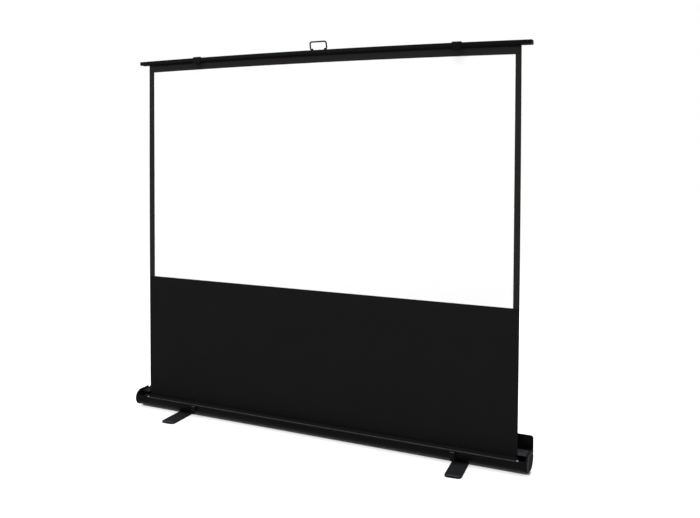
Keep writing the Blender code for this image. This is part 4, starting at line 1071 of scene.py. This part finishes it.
        # A painted highlight: the right deck takes the full rim colour all over, the left one a tenth of it.
        mark_rim(deck, np.full(len(deck.data.vertices), 1.0 if sign > 0 else self.left_deck_highlight))
        wardrobe.dress(deck, "moulded_black", "case", finish="moulded_black_painted_highlight")

    def lip_screw(self, side: str, wardrobe: Wardrobe) -> None:
        """A domed bright screw in place of the plain one at the lip's end."""
        low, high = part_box("lip_screw_" + side)
        centre, radius = (low + high) / 2, (high.x - low.x) / 2
        height = high.z - low.z
        dome = arc((0.0, 0.0), 1.0, 0.0, 90.0, 8) * (radius, height * 0.62) + (0.0, height * 0.38)
        slot = np.array(((0.0, high.z - low.z - 0.0009), (0.0, 0.0), (radius * 0.94, 0.0), (radius, 0.0004)))
        profile = np.vstack((slot[1:], dome[:-1], (0.0013, height), (0.0010, height - 0.0009), slot[:1]))
        rings = turned_rings(profile, (centre.x, centre.y, low.z), "Z", 28)
        screw = solid_of_rings("lip_screw_dome_" + side, rings, close_rows=True)
        wardrobe.dress(screw, "bright_steel", "case", ["lip_screw_" + side], finish="screw_steel")


# ---------------------------------------------------------------- feet

@dataclass(frozen=True)
class Feet:
    """The two flat feet that swivel under the case."""

    spacing: float = 1.710
    turns_deg: tuple = (3.0, 5.0)
    width: float = 0.086
    length: float = 0.430
    top: float = 0.012
    bottom: float = 0.0018
    corner: float = 0.020
    upper_edge: float = 0.0036
    tip_insets: tuple = (0.008, 0.012, 0.016)
    tip_highlight_band: tuple = (0.0070, 0.0050)
    lower_edge: float = 0.0012
    fittings: tuple = (("foot_%s_sole", 0.0003), ("foot_bolt_%s", 0.0004), ("foot_washer_%s", 0.0002))

    def build(self, wardrobe: Wardrobe) -> None:
        """Makes each foot's plate with rounded rims, and finishes its sole, bolt and washer."""
        levels, insets = round_over(self.bottom, self.top, self.lower_edge, self.upper_edge)
        levels = np.concatenate((levels, np.full(len(self.tip_insets), self.top)))
        insets = np.concatenate((insets, self.tip_insets))
        for (side, sign), turn_deg in zip(SIDES, self.turns_deg):
            rings = slab_rings(self.width / 2, self.length / 2, self.corner, levels, insets)
            level, tilted = cos(radians(turn_deg)), sin(radians(turn_deg))
            rings[..., :2] = rings[..., :2] @ np.array(((level, tilted), (-tilted, level)))
            rings[..., 0] += sign * self.spacing / 2
            foot = solid_of_rings("foot_plate_" + side, rings)
            points = points_of(foot)
            # A painted highlight on the top face near each tip, along the tip's rounded rim.
            along = level * points[:, 1] - tilted * (points[:, 0] - sign * self.spacing / 2)
            inward = (self.length / 2 - np.abs(along) - self.tip_highlight_band[0]) / self.tip_highlight_band[1]
            mark_rim(foot, (points[:, 2] > self.top - 0.0002) * np.exp(-inward ** 2))
            wardrobe.dress(foot, "foot_grey", "foot_%s_body" % side, ["foot_" + side])
            # The plate's sides below its top rounding take the darker rubber finish: painted shade under the
            # lit rim.
            foot.data.materials.append(wardrobe.materials["rubber"])
            paint_faces(foot, per_face(foot, "center")[:, 2] < self.top - 0.5 * self.upper_edge)
            for node, edge in self.fittings:
                wardrobe.refine(node % side, edge)


# ---------------------------------------------------------------- top bar and what it carries

@dataclass(frozen=True)
class TopBar:
    """The bowed channel along the sheet's top, with its ends, batten, bracket and latch keepers."""

    bottom: float = 2.1005
    height: float = 0.022
    depth: float = 0.048
    wall: float = 0.0018
    corner: float = 0.005
    toe_corner: float = 0.0016
    hem: float = 0.007
    end_thickness: float = 0.006
    end_gap: float = 0.0003
    end_edge: float = 0.0012
    fine_edge: float = 0.0004
    bracket_edge: float = 0.0005
    bow: Bow = Bow()

    def build(self, wardrobe: Wardrobe) -> None:
        """Makes the channel and its ends, and finishes the pieces that the bar carries."""
        half = self.depth / 2 - self.wall / 2
        low, high = self.bottom + self.wall / 2, self.bottom + self.height - self.wall / 2
        path = filleted(((self.hem - half, low), (-half, low), (-half, high), (half, high), (half, low),
                         (half - self.hem, low)),
                        (0.0, self.toe_corner, self.corner, self.corner, self.toe_corner, 0.0))
        reach = self.bow.length / 2 - self.end_thickness - self.end_gap
        stations = np.linspace(-reach, reach, 49)
        lift = self.bow.rise * self.bow.share(stations)
        channel = solid_of_rings("top_channel", drawn_along_x(sheet_section(path, self.wall), stations, lift))
        wardrobe.dress(channel, "bar_paint", "bar", ["top_bar"])
        for side, sign in SIDES:
            self.end(side, sign, wardrobe)
            keeper = wardrobe.refine("latch_keeper_" + side, self.fine_edge)
            keeper.data.materials[0] = wardrobe.materials["bar_paint"]
        wardrobe.refine("sheet_batten", self.fine_edge)
        wardrobe.refine("top_bracket", self.bracket_edge)

    def end(self, side: str, sign: float, wardrobe: Wardrobe) -> None:
        """A moulded end plug: a rounded slab across the bar, its outer rim well rounded."""
        inner = self.bow.length / 2 - self.end_thickness
        levels, insets = round_over(inner, self.bow.length / 2, self.fine_edge, self.end_edge)
        rings = slab_rings(self.depth / 2, self.height / 2, self.corner, levels, insets)
        z = rings[..., 1] + self.bottom + self.height / 2
        end = solid_of_rings("bar_plug_" + side, np.stack((sign * rings[..., 2], rings[..., 0], z), axis=-1))
        mark_rim(end, np.abs(points_of(end)[:, 0]) > inner + 0.5 * self.end_thickness)
        wardrobe.dress(end, "moulded_black", "bar", ["bar_end_" + side])


@dataclass(frozen=True)
class Handle:
    """The wire bail on the bar's middle and the two ears that hold it."""

    middle: float = 0.027
    width: float = 0.106
    rise: float = 0.0415
    wire: float = 0.0041
    spread: float = 0.0006
    ear_edge: float = 0.0006
    corner: float = 0.011
    foot: float = 0.014
    foot_corner: float = 0.007
    lean_deg: float = 12.0
    axis_height: float = 2.1385

    def build(self, wardrobe: Wardrobe) -> None:
        """Bends the bail's middle line, leans it forward about its hinge and draws the wire round it."""
        half = self.width / 2 - self.wire + self.spread
        inner = half - self.foot
        flat = filleted(((inner, 0.0), (half, 0.0), (half, self.rise), (-half, self.rise), (-half, 0.0),
                         (-inner, 0.0)),
                        (0.0, self.foot_corner, self.corner, self.corner, self.foot_corner, 0.0), 9)
        lean = radians(self.lean_deg)
        path = np.column_stack((flat[:, 0] + self.middle, -sin(lean) * flat[:, 1],
                                self.axis_height + cos(lean) * flat[:, 1]))
        rings = tube_rings(path, np.array((0.0, cos(lean), sin(lean))), self.wire)
        bail = solid_of_rings("bail_wire", rings)
        wardrobe.dress(bail, "black_steel", "handle", ["handle_bail"], 50.0)
        for side, _ in SIDES:
            wardrobe.refine("handle_ear_" + side, self.ear_edge)


# ---------------------------------------------------------------- roller, arms and latches

@dataclass(frozen=True)
class Roller:
    """The sprung roller in the case, with the sheet's last turns on it."""

    axis_y: float = -0.0264
    axis_z: float = 0.0555
    inner_radius: float = 0.0243
    outer_radius: float = 0.0258
    width: float = 2.280
    cloth: float = 0.0006

    def build(self, wardrobe: Wardrobe) -> None:
        """Winds the last turns of the sheet and finishes the tube, plugs, holders, shafts and spring."""
        turns = (self.outer_radius - self.inner_radius) / self.cloth
        angle = np.linspace(0.0, 2 * pi * turns, int(40 * turns))
        radius = self.outer_radius - self.cloth / 2 - (self.cloth * 0.96) * angle / (2 * pi)
        radius = np.maximum(radius, self.inner_radius + self.cloth / 4)
        path = np.column_stack((self.axis_y + radius * np.cos(angle), self.axis_z + radius * np.sin(angle)))
        section = sheet_section(path, self.cloth * 0.9, 2)
        stations = np.linspace(-self.width / 2, self.width / 2, 13)
        wound = solid_of_rings("wound_turns", drawn_along_x(section, stations))
        wardrobe.dress(wound, "sheet_black", "roller", ["sheet_wraps"])
        for node in ("roller_tube", "roller_plug_left", "roller_plug_right", "roller_holder_left",
                     "roller_holder_right", "spring_anchor"):
            wardrobe.refine(node, 0.0003)
        bpy.data.objects["roller_tube_finished"].data.materials[0] = wardrobe.materials["dull_aluminium"]
        for node in ("spring_axle", "idle_pin", "roller_spring"):
            wardrobe.refine(node, 0.0, 50.0)


@dataclass(frozen=True)
class ElbowArms:
    """The two geared elbow arms between the case and the bar."""

    edge: float = 0.0008
    gear_edge: float = 0.0003
    bracket_edge: float = 0.0005

    def build(self, wardrobe: Wardrobe) -> None:
        """Finishes the links, gears, pins and washers, and the bracket on the partition."""
        for side, _ in SIDES:
            for node in ("lower_arm_", "upper_arm_"):
                wardrobe.refine(node + side, self.edge)
            for node in ("base_gear_", "top_gear_", "elbow_pin_", "elbow_washer_", "base_pin_", "top_pin_"):
                wardrobe.refine(node + side, self.gear_edge)
        wardrobe.refine("base_bracket", self.bracket_edge)


@dataclass(frozen=True)
class Latches:
    """The hanging straps that hold the lowered bar, with their hinge plates."""

    edge: float = 0.0004
    hinge: tuple = (-0.072243, 0.070)
    knuckle: float = 0.0033

    def build(self, wardrobe: Wardrobe) -> None:
        """Finishes each strap, with its knuckle rubbed to bare steel, and the plate that it hangs on."""
        for side, _ in SIDES:
            strap = wardrobe.refine("latch_strap_" + side, self.edge)
            strap.data.materials.append(wardrobe.materials["bare_steel"])
            reach = np.hypot(*(per_face(strap, "center")[:, 1:] - self.hinge).T)
            paint_faces(strap, reach < 1.1 * self.knuckle)
            wardrobe.refine("latch_base_" + side, self.edge)


# ---------------------------------------------------------------- the whole scene

def main() -> None:
    """Builds the studio and every sub-assembly."""
    logging.basicConfig(level=logging.INFO, format="%(message)s")
    scene = bpy.context.scene
    scene.view_settings.view_transform = "Standard"
    Studio().build()
    wardrobe = Wardrobe()
    for assembly in (Sheet(), Case(), Feet(), TopBar(), Handle(), Roller(), ElbowArms(), Latches()):
        LOG.info("%s", type(assembly).__name__)
        assembly.build(wardrobe)


if __name__ == "__main__":
    main()
